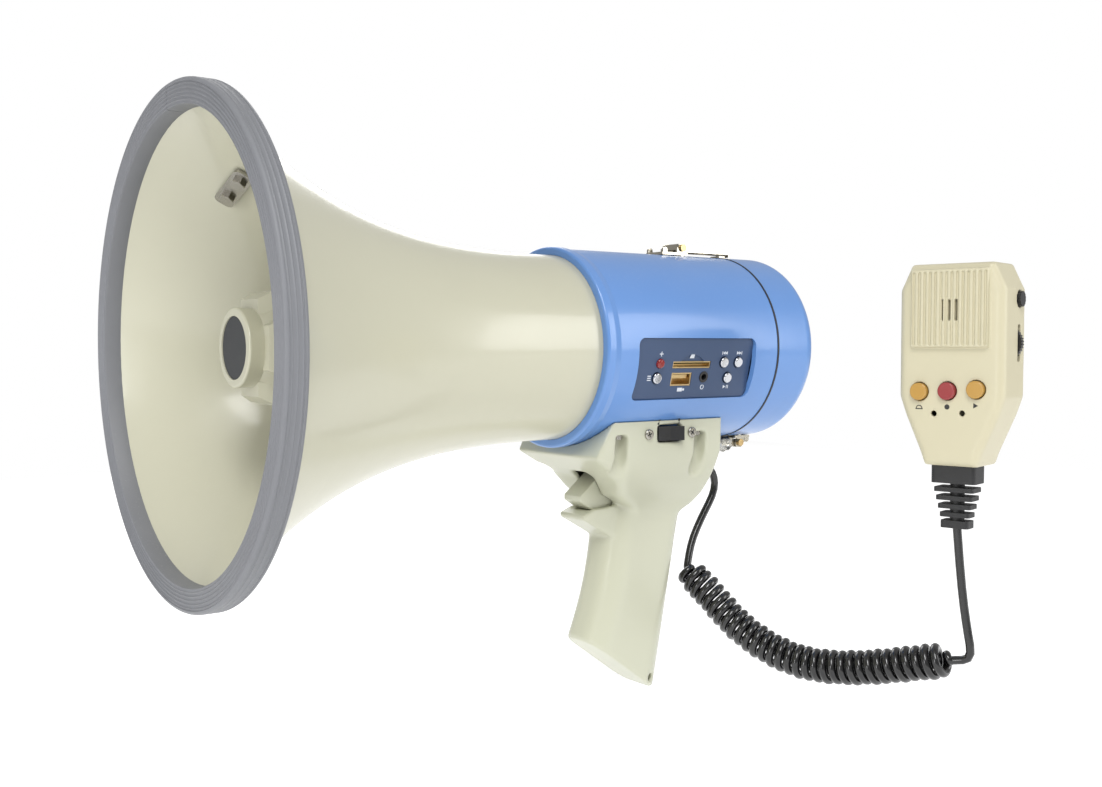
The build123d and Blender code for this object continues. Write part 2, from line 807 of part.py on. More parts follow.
with BuildPart() as handle:
    add(handle_solid)
    with BuildSketch(side):
        with BuildLine():
            Polyline(
                (243, -86), (224, -87.5), (216.5, -90.5), (216.5, -92.5), (236, -103.5), (248, -103.5),
                close=True)
        make_face()
    extrude(amount=ledge_half_width, both=True)
    ledge_tips = handle.edges().filter_by(Axis.Y).filter_by_position(
        Axis.X, mouth_x + 215, mouth_x + 218)
    fillet(ledge_tips, 0.9)
    add(handle_hollow, mode=Mode.SUBTRACT)
    # solid corners round the saddle's screw pockets
    add(corner_columns.part)
    # opening for the trigger through the front wall
    with BuildSketch(side):
        with Locations((228, (trigger_top + trigger_bottom) / 2)):
            Rectangle(40, trigger_top - trigger_bottom + 2 * slide_gap)
    extrude(amount=trigger_half_width + slide_gap, both=True, mode=Mode.SUBTRACT)
    # screw pockets under the saddle's four corners, open to the side
    for wall in (-1, 1):
        for station in saddle_screw_stations:
            with BuildSketch(level(rocker_height - 24)):
                with Locations((station, wall * (saddle_screw_y + 3.2))):
                    SlotOverall(2 * pocket_radius + 6, 2 * pocket_radius, rotation=90)
            extrude(amount=24, mode=Mode.SUBTRACT)
            with BuildSketch(level(rocker_height - 5)):
                with Locations((station, wall * saddle_screw_y)):
                    Circle(saddle_screw_radius)
            extrude(amount=20, mode=Mode.SUBTRACT)
    for station, height, reach in grip_screw_places:
        with BuildSketch(flank(reach - 1)):
            with Locations((station, height)):
                Circle(grip_screw_radius + fit)
        extrude(amount=-8, mode=Mode.SUBTRACT)
    # rocker opening and its screw holes, in the microphone side
    with BuildSketch(flank(-saddle_half_width - 5)):
        with Locations((rocker_station, rocker_height)):
            Rectangle(rocker_length + 2 * slide_gap, rocker_width + 2 * slide_gap)
        with Locations(*[(s, rocker_height) for s in rocker_screw_stations]):
            Circle(1.3)
    extrude(amount=-12, mode=Mode.SUBTRACT)
    with BuildSketch(side):
        with Locations((strap_hole_station, strap_hole_height)):
            Circle(strap_hole_radius)
    extrude(amount=30, both=True, mode=Mode.SUBTRACT)
    with BuildSketch(across(saddle_rear - 10, gland_height)):
        Circle(gland_radius - 1.2)
    extrude(amount=20, mode=Mode.SUBTRACT)

# solid heel, so that the strap hole runs through one lug
with BuildPart() as heel_lug:
    add(handle_solid)
    with BuildSketch(side):
        with Locations((strap_hole_station, strap_hole_height)):
            Circle(6)
    extrude(amount=30, both=True, mode=Mode.INTERSECT)
    with BuildSketch(side):
        with Locations((strap_hole_station, strap_hole_height)):
            Circle(strap_hole_radius)
    extrude(amount=30, both=True, mode=Mode.SUBTRACT)

for shell_name, keep in (("grip_right_shell", Keep.TOP), ("grip_left_shell", Keep.BOTTOM)):
    with BuildPart() as shell:
        add(handle.part)
        add(heel_lug.part)
        split(bisect_by=Plane.XZ, keep=keep)
    save(shell, shell_name)

with BuildPart() as handle_screws:
    for wall in (-1, 1):
        for station in saddle_screw_stations:
            with BuildSketch(level(rocker_height)):
                with Locations((station, wall * saddle_screw_y)):
                    Circle(2.8)
            extrude(amount=-2)
            with BuildSketch(level(rocker_height)):
                with Locations((station, wall * saddle_screw_y)):
                    Circle(saddle_screw_radius)
            extrude(amount=8)
    with BuildSketch(flank(-saddle_half_width)):
        with Locations(*[(s, rocker_height) for s in rocker_screw_stations]):
            Circle(2.8)
    extrude(amount=1.4)
    fillet(handle_screws.edges().filter_by(GeomType.CIRCLE).group_by(Axis.Y)[0], 0.8)
    with BuildSketch(flank(-saddle_half_width)):
        with Locations(*[(s, rocker_height) for s in rocker_screw_stations]):
            Circle(1.3)
    extrude(amount=-7)
    for station, height, reach in grip_screw_places:
        with BuildSketch(flank(reach - 1)):
            with Locations((station, height)):
                Circle(grip_screw_radius)
        extrude(amount=-0.8)
save(handle_screws, "handle_screws")

# ---------------------------------------------------------------- rocker switch
rocker_tilt = 13.0
rocker_pivot_y = -saddle_half_width + 1.5
switch_face = -saddle_half_width + shell_wall + 0.1
with BuildPart() as rocker_switch:
    # mounting ears behind the wall, open above the rocker because the housing curves in there
    with BuildSketch(flank(switch_face + 0.5)):
        with Locations((rocker_station, rocker_height - 2.3)):
            Rectangle(33.8, 5.4)
        with Locations((rocker_station, rocker_height + 0.3)):
            Rectangle(rocker_length + 3, 9.4, mode=Mode.SUBTRACT)
        with Locations(*[(s, rocker_height) for s in rocker_screw_stations]):
            Circle(1.35, mode=Mode.SUBTRACT)
    extrude(amount=-1)
    with BuildSketch(flank(switch_face + 1.3)):
        with Locations((rocker_station, rocker_height - 7.0)):
            Rectangle(20, 5.8)
    extrude(amount=-7.3)
save(rocker_switch, "rocker_switch")

rocker_plane = Plane(
    origin=(mouth_x + rocker_station, rocker_pivot_y, axis_height + rocker_height),
    x_dir=(cos(radians(rocker_tilt)), -sin(radians(rocker_tilt)), 0),
    z_dir=(0, 0, 1),
)
with BuildPart() as rocker:
    with BuildSketch(rocker_plane):
        with BuildLine():
            half_length = rocker_length / 2 - 0.6
            Polyline(
                (-half_length, 0), (-half_length, -3.6), (0, -2.6), (half_length, -3.6),
                (half_length, 0), (0, 1.2), close=True,
            )
        make_face()
    extrude(amount=rocker_width / 2 - 0.2, both=True)
save(rocker, "rocker")

# ---------------------------------------------------------------- trigger, its switch and spring
with BuildPart() as trigger:
    with BuildSketch(side):
        with BuildLine():
            Polyline(
                (233, trigger_top), (217.2, -80.2), (217.2, -83), (225, trigger_bottom),
                (241, trigger_bottom), (241, trigger_top), close=True,
            )
        face = make_face()
        fillet(face.vertices().filter_by_position(Axis.X, 217, 218), 1.2)
    extrude(amount=trigger_half_width, both=True)
    fillet(trigger.edges().filter_by_position(Axis.X, mouth_x + 216, mouth_x + 229).filter_by_position(
        Axis.Y, -trigger_half_width, -trigger_half_width), 0.7)
save(trigger, "trigger")

with BuildPart() as trigger_switch:
    with BuildSketch(flank(0)):
        with Locations((254, -76)):
            Rectangle(12, 14)
    extrude(amount=5, both=True)
    with BuildSketch(across(246.2)):
        with Locations((0, -73)):
            Circle(1.5)
    extrude(amount=2)
save(trigger_switch, "trigger_switch")

spring_turns = 5
spring_radius = 2.4
with BuildPart() as trigger_spring:
    spring_plane = Plane(origin=(mouth_x + 241.5, 0, axis_height - 82), z_dir=(1, 0, 0))
    with BuildLine():
        coil = Helix(pitch=1.2, height=1.2 * (spring_turns - 0.5), radius=spring_radius,
                     center=spring_plane.origin, direction=(1, 0, 0))
    with BuildSketch(Plane(coil @ 0, z_dir=coil % 0)):
        Circle(0.3)
    sweep(is_frenet=True)
save(trigger_spring, "trigger_spring")

# ---------------------------------------------------------------- amplifier board
with BuildPart() as amplifier_board:
    with BuildSketch(level(-64)):
        with Locations((258, 0)):
            Rectangle(44, 36)
    extrude(amount=1.6)
    with BuildSketch(level(-62.4)):
        with Locations((250, 8)):
            Rectangle(14, 10)
        with Locations((268, -8)):
            Circle(4)
    extrude(amount=5)
save(amplifier_board, "amplifier_board")

# ---------------------------------------------------------------- cord gland on the saddle's rear face
with BuildPart() as cord_gland:
    ring(across(saddle_rear, gland_height), gland_radius, gland_bore, 3)
    ring(across(saddle_rear + 3, gland_height), gland_radius - 1.4, gland_bore, gland_length - 3)
    ring(across(saddle_rear - 4, gland_height), gland_radius - 1.3, gland_bore, 4)
save(cord_gland, "cord_gland")

# ---------------------------------------------------------------- microphone
mic_station = 354.0
mic_y = -147.6
mic_height = -8.7
mic_yaw = 13.3
mic_half_width = 27.0
mic_thick = 31.0
mic_top = 51.0
mic_foot = -51.0
mic_wall = 2.2
mic_back_depth = 15.5        # the back shell's share of the thickness
mic_right = Vector(sin(radians(mic_yaw)), -cos(radians(mic_yaw)), 0)
mic_facing = Vector(-cos(radians(mic_yaw)), -sin(radians(mic_yaw)), 0)
mic_centre = Vector(mouth_x + mic_station, mic_y, axis_height + mic_height)
mic_depth_axis = Axis((0, 0, 0), tuple(mic_facing))


def mic_plane(depth):
    """Plane of the microphone's face, depth in front of its middle: local x to its right, local y up."""
    return Plane(origin=mic_centre + mic_facing * depth, x_dir=mic_right, z_dir=mic_facing)


def mic_side(reach):
    """Plane of the microphone's right flank: local x runs from its face to its back, local y up."""
    return Plane(origin=mic_centre + mic_right * reach, x_dir=-mic_facing, z_dir=mic_right)


def mic_outline(inset):
    """Front outline: square shoulders and a taper down to the cord."""
    wide = mic_half_width - inset
    with BuildLine() as edge:
        right_half = Polyline(
            (0, mic_top - inset), (wide - 6, mic_top - inset), (wide, mic_top - 13), (wide, -16),
            (wide - 3, -25), (15.5 - inset, -45), (13.5 - inset, mic_foot + inset), (0, mic_foot + inset),
        )
        mirror(right_half, about=Plane.YZ)
    make_face(edge.edges())


mic_half = mic_thick / 2
mic_part = -mic_half + mic_back_depth
pad_half_width = 20.0
pad_top = 48.5
pad_foot = 8.5
pad_rise = 3.2
rib_pitch = 2.8
mic_button_places = {
    "siren_button": (-15.5, -13.5),
    "record_button": (-1.0, -13.0),
    "replay_button": (13.5, -12.0),
}
mic_button_radius = 4.4
mic_button_travel = 1.5
mic_hole_places = ((-8.0, -24.5), (6.5, -24.0))
wheel_radius = 9.0
wheel_thick = 3.0
wheel_height = 11.0
wheel_depth = 4.0            # behind the middle
wheel_reach = mic_half_width - wheel_radius + 1.8
axle_radius = 1.5
mic_screw_places = ((-18, 40), (18, 40), (-18, -18), (18, -18))
knob_height = 33.0
knob_radius = 3.9
strain_depth = 3.0           # in front of the middle

with BuildPart() as mic_front_shell:
    with BuildSketch(mic_plane(mic_part)):
        mic_outline(0)
    extrude(amount=mic_half - mic_part)
    front_edges = mic_front_shell.faces().sort_by(mic_depth_axis)[-1].edges()
    fillet(front_edges, 4.0)
    with BuildSketch(mic_plane(mic_half - 1)):
        with Locations((0, (pad_top + pad_foot) / 2)):
            Rectangle(2 * pad_half_width, pad_top - pad_foot)
    extrude(amount=pad_rise, taper=12)
    with BuildSketch(mic_plane(mic_half + 1.2)):
        with Locations((0, (pad_top + pad_foot) / 2 - 0.2)):
            with GridLocations(rib_pitch, 1, 14, 1):
                Rectangle(1.2, pad_top - pad_foot - 3.2)
    extrude(amount=3, mode=Mode.SUBTRACT)
    with BuildSketch(mic_plane(mic_part)):
        mic_outline(mic_wall)
    extrude(amount=mic_half - mic_wall - mic_part, mode=Mode.SUBTRACT)
    with BuildSketch(mic_plane(mic_half - 6)):
        with Locations(*mic_button_places.values()):
            Circle(mic_button_radius + slide_gap)
        with Locations(*mic_hole_places):
            Circle(1.5)
        with Locations(*[(x, 27.5) for x in (-3.4, 0, 3.4)]):
            Rectangle(1.1, 11)
    extrude(amount=12, mode=Mode.SUBTRACT)
save(mic_front_shell, "mic_front_shell")

with BuildPart() as mic_back_shell:
    with BuildSketch(mic_plane(mic_part - 0.15)):
        mic_outline(0)
    extrude(amount=-mic_back_depth + 0.15)
    back_edges = mic_back_shell.faces().sort_by(mic_depth_axis)[0].edges()
    fillet(back_edges, 4.0)
    with BuildSketch(mic_plane(mic_part - 0.15)):
        mic_outline(mic_wall)
    extrude(amount=-mic_back_depth + mic_wall, mode=Mode.SUBTRACT)
    with BuildSketch(mic_side(mic_half_width - 5)):
        with Locations((wheel_depth + 1.6, wheel_height)):
            Rectangle(wheel_thick + 2 * slide_gap + 0.4, 18.5)
        with Locations((wheel_depth + 1.6, knob_height)):
            Circle(knob_radius + slide_gap)
    extrude(amount=10, mode=Mode.SUBTRACT)
    with BuildSketch(mic_plane(-mic_half - 2)):
        with Locations(*mic_screw_places):
            Circle(1.2)
    extrude(amount=10, mode=Mode.SUBTRACT)
    # hanging stud on the back and the wheel's axle inside
    for reach, radius in ((3, 4), (5.5, 7)):
        with BuildSketch(mic_plane(-mic_half - reach + 3)):
            with Locations((0, 18)):
                Circle(radius)
        extrude(amount=-3)
    axle_foot = mic_side(wheel_reach).from_local_coords((mic_half - 1, wheel_height, 0))
    with BuildSketch(Plane(Vector(*axle_foot), x_dir=mic_right, z_dir=mic_facing)):
        Circle(axle_radius)
    extrude(amount=mic_half - wheel_depth)
save(mic_back_shell, "mic_back_shell")

for button_name, place in mic_button_places.items():
    with BuildPart() as button:
        with BuildSketch(mic_plane(mic_half - 4.2)):
            with Locations(place):
                Circle(mic_button_radius)
        extrude(amount=4.2 + 2.2)
        top_rim = button.edges().filter_by(GeomType.CIRCLE).sort_by(mic_depth_axis)[-1]
        fillet(top_rim, 0.6)
    save(button, button_name)

with BuildPart() as mic_wheel:
    wheel_centre = mic_side(wheel_reach).from_local_coords((wheel_depth + 1.6, wheel_height, 0))
    wheel_plane = Plane(origin=Vector(*wheel_centre) + mic_facing * (wheel_thick / 2), x_dir=mic_right,
                        z_dir=mic_facing)
    with BuildSketch(wheel_plane):
        Circle(wheel_radius)
        with PolarLocations(wheel_radius, 36):
            Circle(0.45, mode=Mode.SUBTRACT)
        Circle(axle_radius + 0.06, mode=Mode.SUBTRACT)
    extrude(amount=-wheel_thick)
save(mic_wheel, "mic_wheel")

with BuildPart() as mic_knob:
    with BuildSketch(mic_side(mic_half_width - 4)):
        with Locations((wheel_depth + 1.6, knob_height)):
            Circle(knob_radius)
            with PolarLocations(knob_radius, 14):
                Circle(0.35, mode=Mode.SUBTRACT)
    extrude(amount=4 + 1.6)
save(mic_knob, "mic_knob")

with BuildPart() as mic_capsule:
    with BuildSketch(mic_plane(mic_half - mic_wall - 0.2)):
        with Locations((0, 27.5)):
            Circle(8)
    extrude(amount=-6)
save(mic_capsule, "mic_capsule")

with BuildPart() as mic_board:
    with BuildSketch(mic_plane(mic_half - 8)):
        with Locations((0, -8)):
            Rectangle(42, 26)
    extrude(amount=-1.6)
save(mic_board, "mic_board")

with BuildPart() as mic_screws:
    with BuildSketch(mic_plane(-mic_half)):
        with Locations(*mic_screw_places):
            Circle(2.4)
    extrude(amount=-0.8)
    with BuildSketch(mic_plane(-mic_half)):
        with Locations(*mic_screw_places):
            Circle(1.2)
    extrude(amount=mic_wall)
save(mic_screws, "mic_screws")

# ribbed strain relief under the microphone
strain_top = mic_centre + mic_facing * strain_depth + Vector(0, 0, mic_foot)
strain_plane = Plane(origin=strain_top, x_dir=mic_right,
                     z_dir=(0, 0, -1))
strain_length = 32.0
with BuildPart() as mic_strain_relief:
    with BuildSketch(strain_plane):
        RectangleRounded(23, 15, 2.5)
    extrude(amount=9)
    with BuildSketch(strain_plane.offset(9)):
        Circle(3.6)
    extrude(amount=strain_length - 9)
    for i in range(4):
        with BuildSketch(strain_plane.offset(11.2 + 4.3 * i)):
            RectangleRounded(20.5 - 1.7 * i, 13 - 1.0 * i, 1.8)
        extrude(amount=2.3)
    with BuildSketch(strain_plane.offset(28.2)):
        RectangleRounded(14.5, 10, 2)
    extrude(amount=strain_length - 28.2)
    with BuildSketch(strain_plane):
        Circle(cord_diameter / 2)
    extrude(amount=strain_length, mode=Mode.SUBTRACT)
save(mic_strain_relief, "mic_strain_relief")


# ---------------------------------------------------------------- cord
def corner_radii(points):
    """Radius of each corner: 0.45 of its shorter run over the tangent of half its turn."""
    radii = []
    for before, corner, after in zip(points, points[1:], points[2:]):
        into, out = Vector(*corner) - Vector(*before), Vector(*after) - Vector(*corner)
        turn = into.get_angle(out)
        radii.append(0.45 * min(into.length, out.length) / tan(radians(turn / 2)))
    return radii


def cord_tube(points, diameter):
    """A round tube along straight runs joined by tangent arcs."""
    with BuildLine() as route:
        FilletPolyline(*points, radius=corner_radii(points))
    with BuildSketch(Plane(route.line @ 0, z_dir=route.line % 0)) as section:
        Circle(diameter / 2)
    sweep(section.sketch, path=route.line)
    return sum(edge.length for edge in route.edges())


gland_end = (mouth_x + saddle_rear + gland_length, 0, axis_height + gland_height)
curl_start = (42.5, -1.0, -8.5)
curl_end = (95, -146.5, -40.5)
lead_points = [
    gland_end, (60, 0, 51.5), (68, 0, 44.5), (68.5, 0, 34), (58, 0, 20), (49.5, 0, 6), curl_start,
]
curl_points = [
    curl_start, (48.5, -14, -20), (54, -31, -37), (60.5, -50, -48.5), (68, -71, -54.5), (75.5, -92, -53.5),
    (82.5, -112, -49.5), (89, -130, -44.5), curl_end,
]
relief_end = mic_centre + mic_facing * strain_depth + Vector(0, 0, mic_foot - strain_length)
mic_lead_points = [
    curl_end, (98.8, -156, -39), (98, -153, -24), (96.5, -150, 0), tuple(relief_end),
]

with BuildPart() as cord_lead:
    lead_length = cord_tube(lead_points, cord_diameter)
save(cord_lead, "cord_lead")

with BuildPart() as curly_cord:
    curl_length = cord_tube(curl_points, coil_diameter)
save(curly_cord, "curly_cord")

with BuildPart() as mic_lead:
    mic_lead_length = cord_tube(mic_lead_points, cord_diameter)
save(mic_lead, "mic_lead")

for name, points, solid, length, diameter in (
    ("cord_lead", lead_points, cord_lead, lead_length, cord_diameter),
    ("curly_cord", curl_points, curly_cord, curl_length, coil_diameter),
    ("mic_lead", mic_lead_points, mic_lead, mic_lead_length, cord_diameter),
):
    radii = [round(r, 1) for r in corner_radii(points)]
    share = solid.part.volume / (length * pi * diameter ** 2 / 4)
    print(name, "length", round(length, 1), "corner radii", radii, "volume share", round(share, 3))
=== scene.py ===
# %% [markdown]
# A handheld megaphone is a folded plastic horn on a pistol grip. A driver and a tube of batteries sit in a
# coloured housing behind it, and a hand microphone hangs on a curly cord. The hard parts come from the
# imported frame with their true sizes. This lesson gives them their finishes, and adds what a frame of plain
# solids can't show: the cord's turns, the ridged guard, the printed marks and the film on a latch.

# %% Load the frame
import json
import math
import bmesh
import bpy
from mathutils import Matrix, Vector
from mathutils.bvhtree import BVHTree


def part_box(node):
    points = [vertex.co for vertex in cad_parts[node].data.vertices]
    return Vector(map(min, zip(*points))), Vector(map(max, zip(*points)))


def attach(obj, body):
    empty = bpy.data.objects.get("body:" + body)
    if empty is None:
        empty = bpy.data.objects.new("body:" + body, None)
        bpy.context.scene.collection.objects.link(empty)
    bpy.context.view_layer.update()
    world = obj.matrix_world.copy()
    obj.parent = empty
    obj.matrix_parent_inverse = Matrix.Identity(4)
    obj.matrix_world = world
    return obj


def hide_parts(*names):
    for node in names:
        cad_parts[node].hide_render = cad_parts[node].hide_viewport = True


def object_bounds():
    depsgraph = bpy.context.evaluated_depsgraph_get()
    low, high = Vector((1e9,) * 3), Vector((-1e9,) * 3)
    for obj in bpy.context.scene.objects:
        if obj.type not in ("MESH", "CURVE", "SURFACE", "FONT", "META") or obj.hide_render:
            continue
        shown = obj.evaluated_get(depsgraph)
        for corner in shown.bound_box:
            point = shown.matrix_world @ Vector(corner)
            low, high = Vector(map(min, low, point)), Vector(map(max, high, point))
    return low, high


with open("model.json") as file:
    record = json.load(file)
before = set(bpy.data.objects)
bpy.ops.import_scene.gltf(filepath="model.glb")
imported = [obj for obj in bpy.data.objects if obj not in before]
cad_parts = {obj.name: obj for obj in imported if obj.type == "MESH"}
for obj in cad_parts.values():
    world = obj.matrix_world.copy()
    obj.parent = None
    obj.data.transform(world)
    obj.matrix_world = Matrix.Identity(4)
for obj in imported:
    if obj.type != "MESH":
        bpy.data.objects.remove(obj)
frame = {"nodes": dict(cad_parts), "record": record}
frame_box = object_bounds()
MM = 0.001
AXIS_Z = (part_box("rim_guard")[0].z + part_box("rim_guard")[1].z) / 2

# %% [markdown]
# The camera comes first, because the cord is checked against what it sees. It stands a little in front of
# the mouth and to the microphone's side, level with the horn, as someone would hold it to show the panel.
# A lens can be given by its field of view or by its focal length; the length is used here, because the
# distance and the lens together set how strongly the mouth looms over the grip.

# %% Camera
camera_place = Vector((-0.4345, -0.5147, 0.1211))
camera_ahead = Vector((0.595, 0.803, -0.040)).normalized()
camera_data = bpy.data.cameras.new("camera")
camera_data.sensor_width = 36.0
camera_data.lens = 39.2
camera_data.clip_start = 0.01
camera = bpy.data.objects.new("camera", camera_data)
bpy.context.scene.collection.objects.link(camera)
camera.location = camera_place
camera.rotation_mode = "QUATERNION"
camera.rotation_quaternion = camera_ahead.to_track_quat("-Z", "Y")
bpy.context.scene.camera = camera
print("camera looks along", tuple(round(v, 3) for v in camera_ahead))

# %% [markdown]
# The cord leaves a gland under the housing, runs down, coils, and rises to the microphone. A helix could be
# a Screw modifier, but that makes a straight coil. Here the cord's route is drawn first as a smooth curve,
# and the turns are then wound round points read from it, so that the coil sags as its own weight bends it.

# %% Helpers for curves
def smooth_curve(name, points, thickness=0.0, steps=12):
    """One open NURBS spline with these points, in metres, as its control points.
    The thickness is in the points' radius, because a curve's box grows by that radius whatever its bevel."""
    data = bpy.data.curves.new(name, "CURVE")
    data.dimensions = "3D"
    data.resolution_u = steps
    spline = data.splines.new("NURBS")
    spline.points.add(len(points) - 1)
    for place, point in zip(spline.points, points):
        place.co = (*point, 1.0)
        place.radius = max(thickness / 2, 1e-5)
    spline.order_u = 3
    spline.use_endpoint_u = True
    data.bevel_depth = 1.0 if thickness > 0 else 0.0
    data.bevel_resolution = 4
    data.use_fill_caps = thickness > 0
    piece = bpy.data.objects.new(name, data)
    bpy.context.scene.collection.objects.link(piece)
    return piece


def read_line(curve):
    """The points that a curve with no thickness passes through."""
    bpy.context.view_layer.update()
    mesh = bpy.data.meshes.new_from_object(curve)
    line = [v.co.copy() for v in mesh.vertices]
    bpy.data.meshes.remove(mesh)
    return line


def distances_along(line):
    total = [0.0]
    for here, there in zip(line, line[1:]):
        total.append(total[-1] + (there - here).length)
    return total


def nearest(line, point):
    return min(range(len(line)), key=lambda i: (line[i] - point).length)


# %% [markdown]
# The route is a short list of given points: a lead down from the gland, the line that the coil hangs
# along, and a lead up into the microphone. A NURBS spline was chosen over Bezier handles, because it rounds
# every corner by itself and stays inside its points.

# %% The cord's route
CORD_DIAMETER = 4.5 * MM
COIL_RADIUS = 7.25 * MM
lead_points = [
    (49.5, 0, 51.5), (60, 0, 51.5), (68, 0, 44.5), (68.5, 0, 34), (58, 0, 20), (49.5, 0, 6),
    (42.5, -1, -8.5),
]
curl_points = [
    (42.5, -1, -8.5), (48.5, -14, -20), (54, -31, -37), (60.5, -50, -48.5), (68, -71, -54.5),
    (75.5, -92, -53.5), (82.5, -112, -49.5), (89, -130, -44.5), (95, -146.5, -40.5),
]
mic_lead_points = [
    (95, -146.5, -40.5), (98.8, -156, -39), (98, -153, -24), (96.5, -150, 0), (95.08, -148.29, 28.3),
]
route_points = [Vector(p) * MM for p in lead_points + curl_points[1:] + mic_lead_points[1:]]
route = smooth_curve("cord_route", route_points)
line = read_line(route)
along = distances_along(line)
coil_first = nearest(line, Vector(curl_points[0]) * MM)
coil_last = nearest(line, Vector(curl_points[-1]) * MM)
print("route", round(along[-1], 4), "m, coil", round(along[coil_last] - along[coil_first], 4), "m")

# %% [markdown]
# To wind a helix round a bent line, each point needs two directions square to the line that don't spin as
# it bends. Carrying one direction along and straightening it at every step does that. The radius grows
# from nothing over the first turn and shrinks over the last, as the moulded coil's ends do.

# %% The coil's turns
COIL_TURNS = 33
POINTS_PER_TURN = 16
END_TURNS = 1.3
UNEVEN_SHARE, UNEVEN_RATE = 0.03, 2.3


def carried_frames(line):
    """A direction square to the line at each of its points, carried along without spin."""
    sideways = Vector((0, 0, 1)).cross(line[1] - line[0]).normalized()
    frames = []
    for i, here in enumerate(line):
        tangent = (line[min(i + 1, len(line) - 1)] - line[max(i - 1, 0)]).normalized()
        sideways = (sideways - tangent * sideways.dot(tangent)).normalized()
        frames.append((tangent, sideways.copy(), tangent.cross(sideways)))
    return frames


def at_distance(line, along, frames, distance):
    """Where the line is at a distance along it, and its two square directions there."""
    i = max(j for j, value in enumerate(along[:-1]) if value <= distance)
    share = (distance - along[i]) / (along[i + 1] - along[i])
    return line[i].lerp(line[i + 1], share), frames[i][1], frames[i][2]


def eased(share):
    share = max(0.0, min(1.0, share))
    return share * share * (3 - 2 * share)


frames = carried_frames(line)
start, end = along[coil_first], along[coil_last]
steps = COIL_TURNS * POINTS_PER_TURN
coil_points = []
for i in range(1, steps):
    place, across, over = at_distance(line, along, frames, start + (end - start) * i / steps)
    turns = i / POINTS_PER_TURN
    radius = COIL_RADIUS * eased(turns / END_TURNS) * eased((COIL_TURNS - turns) / END_TURNS) * (
        1 + UNEVEN_SHARE * math.sin(turns * UNEVEN_RATE))
    angle = 2 * math.pi * turns
    coil_points.append(place + across * radius * math.cos(angle) + over * radius * math.sin(angle))
cord_points = (
    [Vector(p) * MM for p in lead_points[:-1]] + coil_points + [Vector(p) * MM for p in mic_lead_points[1:]])
cord = smooth_curve("curly_cord_whole", cord_points, CORD_DIAMETER, steps=3)
bpy.data.objects.remove(route)
print("cord's control points", len(cord_points), "span", round(distances_along(cord_points)[-1], 3), "m")
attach(cord, "body")
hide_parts("cord_lead", "curly_cord", "mic_lead")

# %% [markdown]
# Several finishes share the same small effects, so each effect is a node group: uneven tone and fine grain
# from the mould, brightened edges where paint or gloss wears, and settled dust. A group could be copied by
# hand into every material, but one group with named inputs keeps them alike and is easy to tune.

# %% Helpers for node trees
def add_node(tree, kind, **settings):
    made = tree.nodes.new(kind)
    for key, value in settings.items():
        setattr(made, key, value)
    return made


def join(tree, source, target):
    tree.links.new(source, target)


def new_group(name, inputs, outputs):
    """A shader node group with these sockets: {name: (kind, first value)}."""
    tree = bpy.data.node_groups.new(name, "ShaderNodeTree")
    kinds = {"value": "NodeSocketFloat", "colour": "NodeSocketColor"}
    for socket_name, (kind, first) in inputs.items():
        socket = tree.interface.new_socket(socket_name, in_out="INPUT", socket_type=kinds[kind])
        socket.default_value = first
    for socket_name, kind in outputs.items():
        tree.interface.new_socket(socket_name, in_out="OUTPUT", socket_type=kinds[kind])
    return tree, add_node(tree, "NodeGroupInput"), add_node(tree, "NodeGroupOutput")


def maths(tree, operation, first, second, clamp=False):
    """A Math node; each side is a socket or a number."""
    made = add_node(tree, "ShaderNodeMath", operation=operation, use_clamp=clamp)
    for socket, value in zip(made.inputs, (first, second)):
        if isinstance(value, (int, float)):
            socket.default_value = value
        else:
            join(tree, value, socket)
    return made.outputs[0]


def noise(tree, coordinates, scale, detail=3.0, roughness=0.5, distortion=0.0):
    made = add_node(tree, "ShaderNodeTexNoise")
    join(tree, coordinates, made.inputs["Vector"])
    for key, value in (("Scale", scale), ("Detail", detail), ("Roughness", roughness),
                       ("Distortion", distortion)):
        if isinstance(value, (int, float)):
            made.inputs[key].default_value = value
        else:
            join(tree, value, made.inputs[key])
    return made.outputs["Fac"]


def mixed_colour(tree, share, first, second):
    made = add_node(tree, "ShaderNodeMix", data_type="RGBA")
    for socket, value in ((made.inputs[0], share), (made.inputs[6], first), (made.inputs[7], second)):
        if isinstance(value, (int, float)):
            socket.default_value = value
        elif isinstance(value, tuple):
            socket.default_value = (*value[:3], 1.0)
        else:
            join(tree, value, socket)
    return made.outputs[2]


# %% [markdown]
# A moulded face looks even from afar, but its tone drifts in soft patches, fingers leave smudges in its
# gloss, and its skin has a fine grain. An image could hold these, but noise in the object's own coordinates
# needs no unwrapping. The smudges shift only the roughness, and the grain goes out as a height for a Bump
# node.

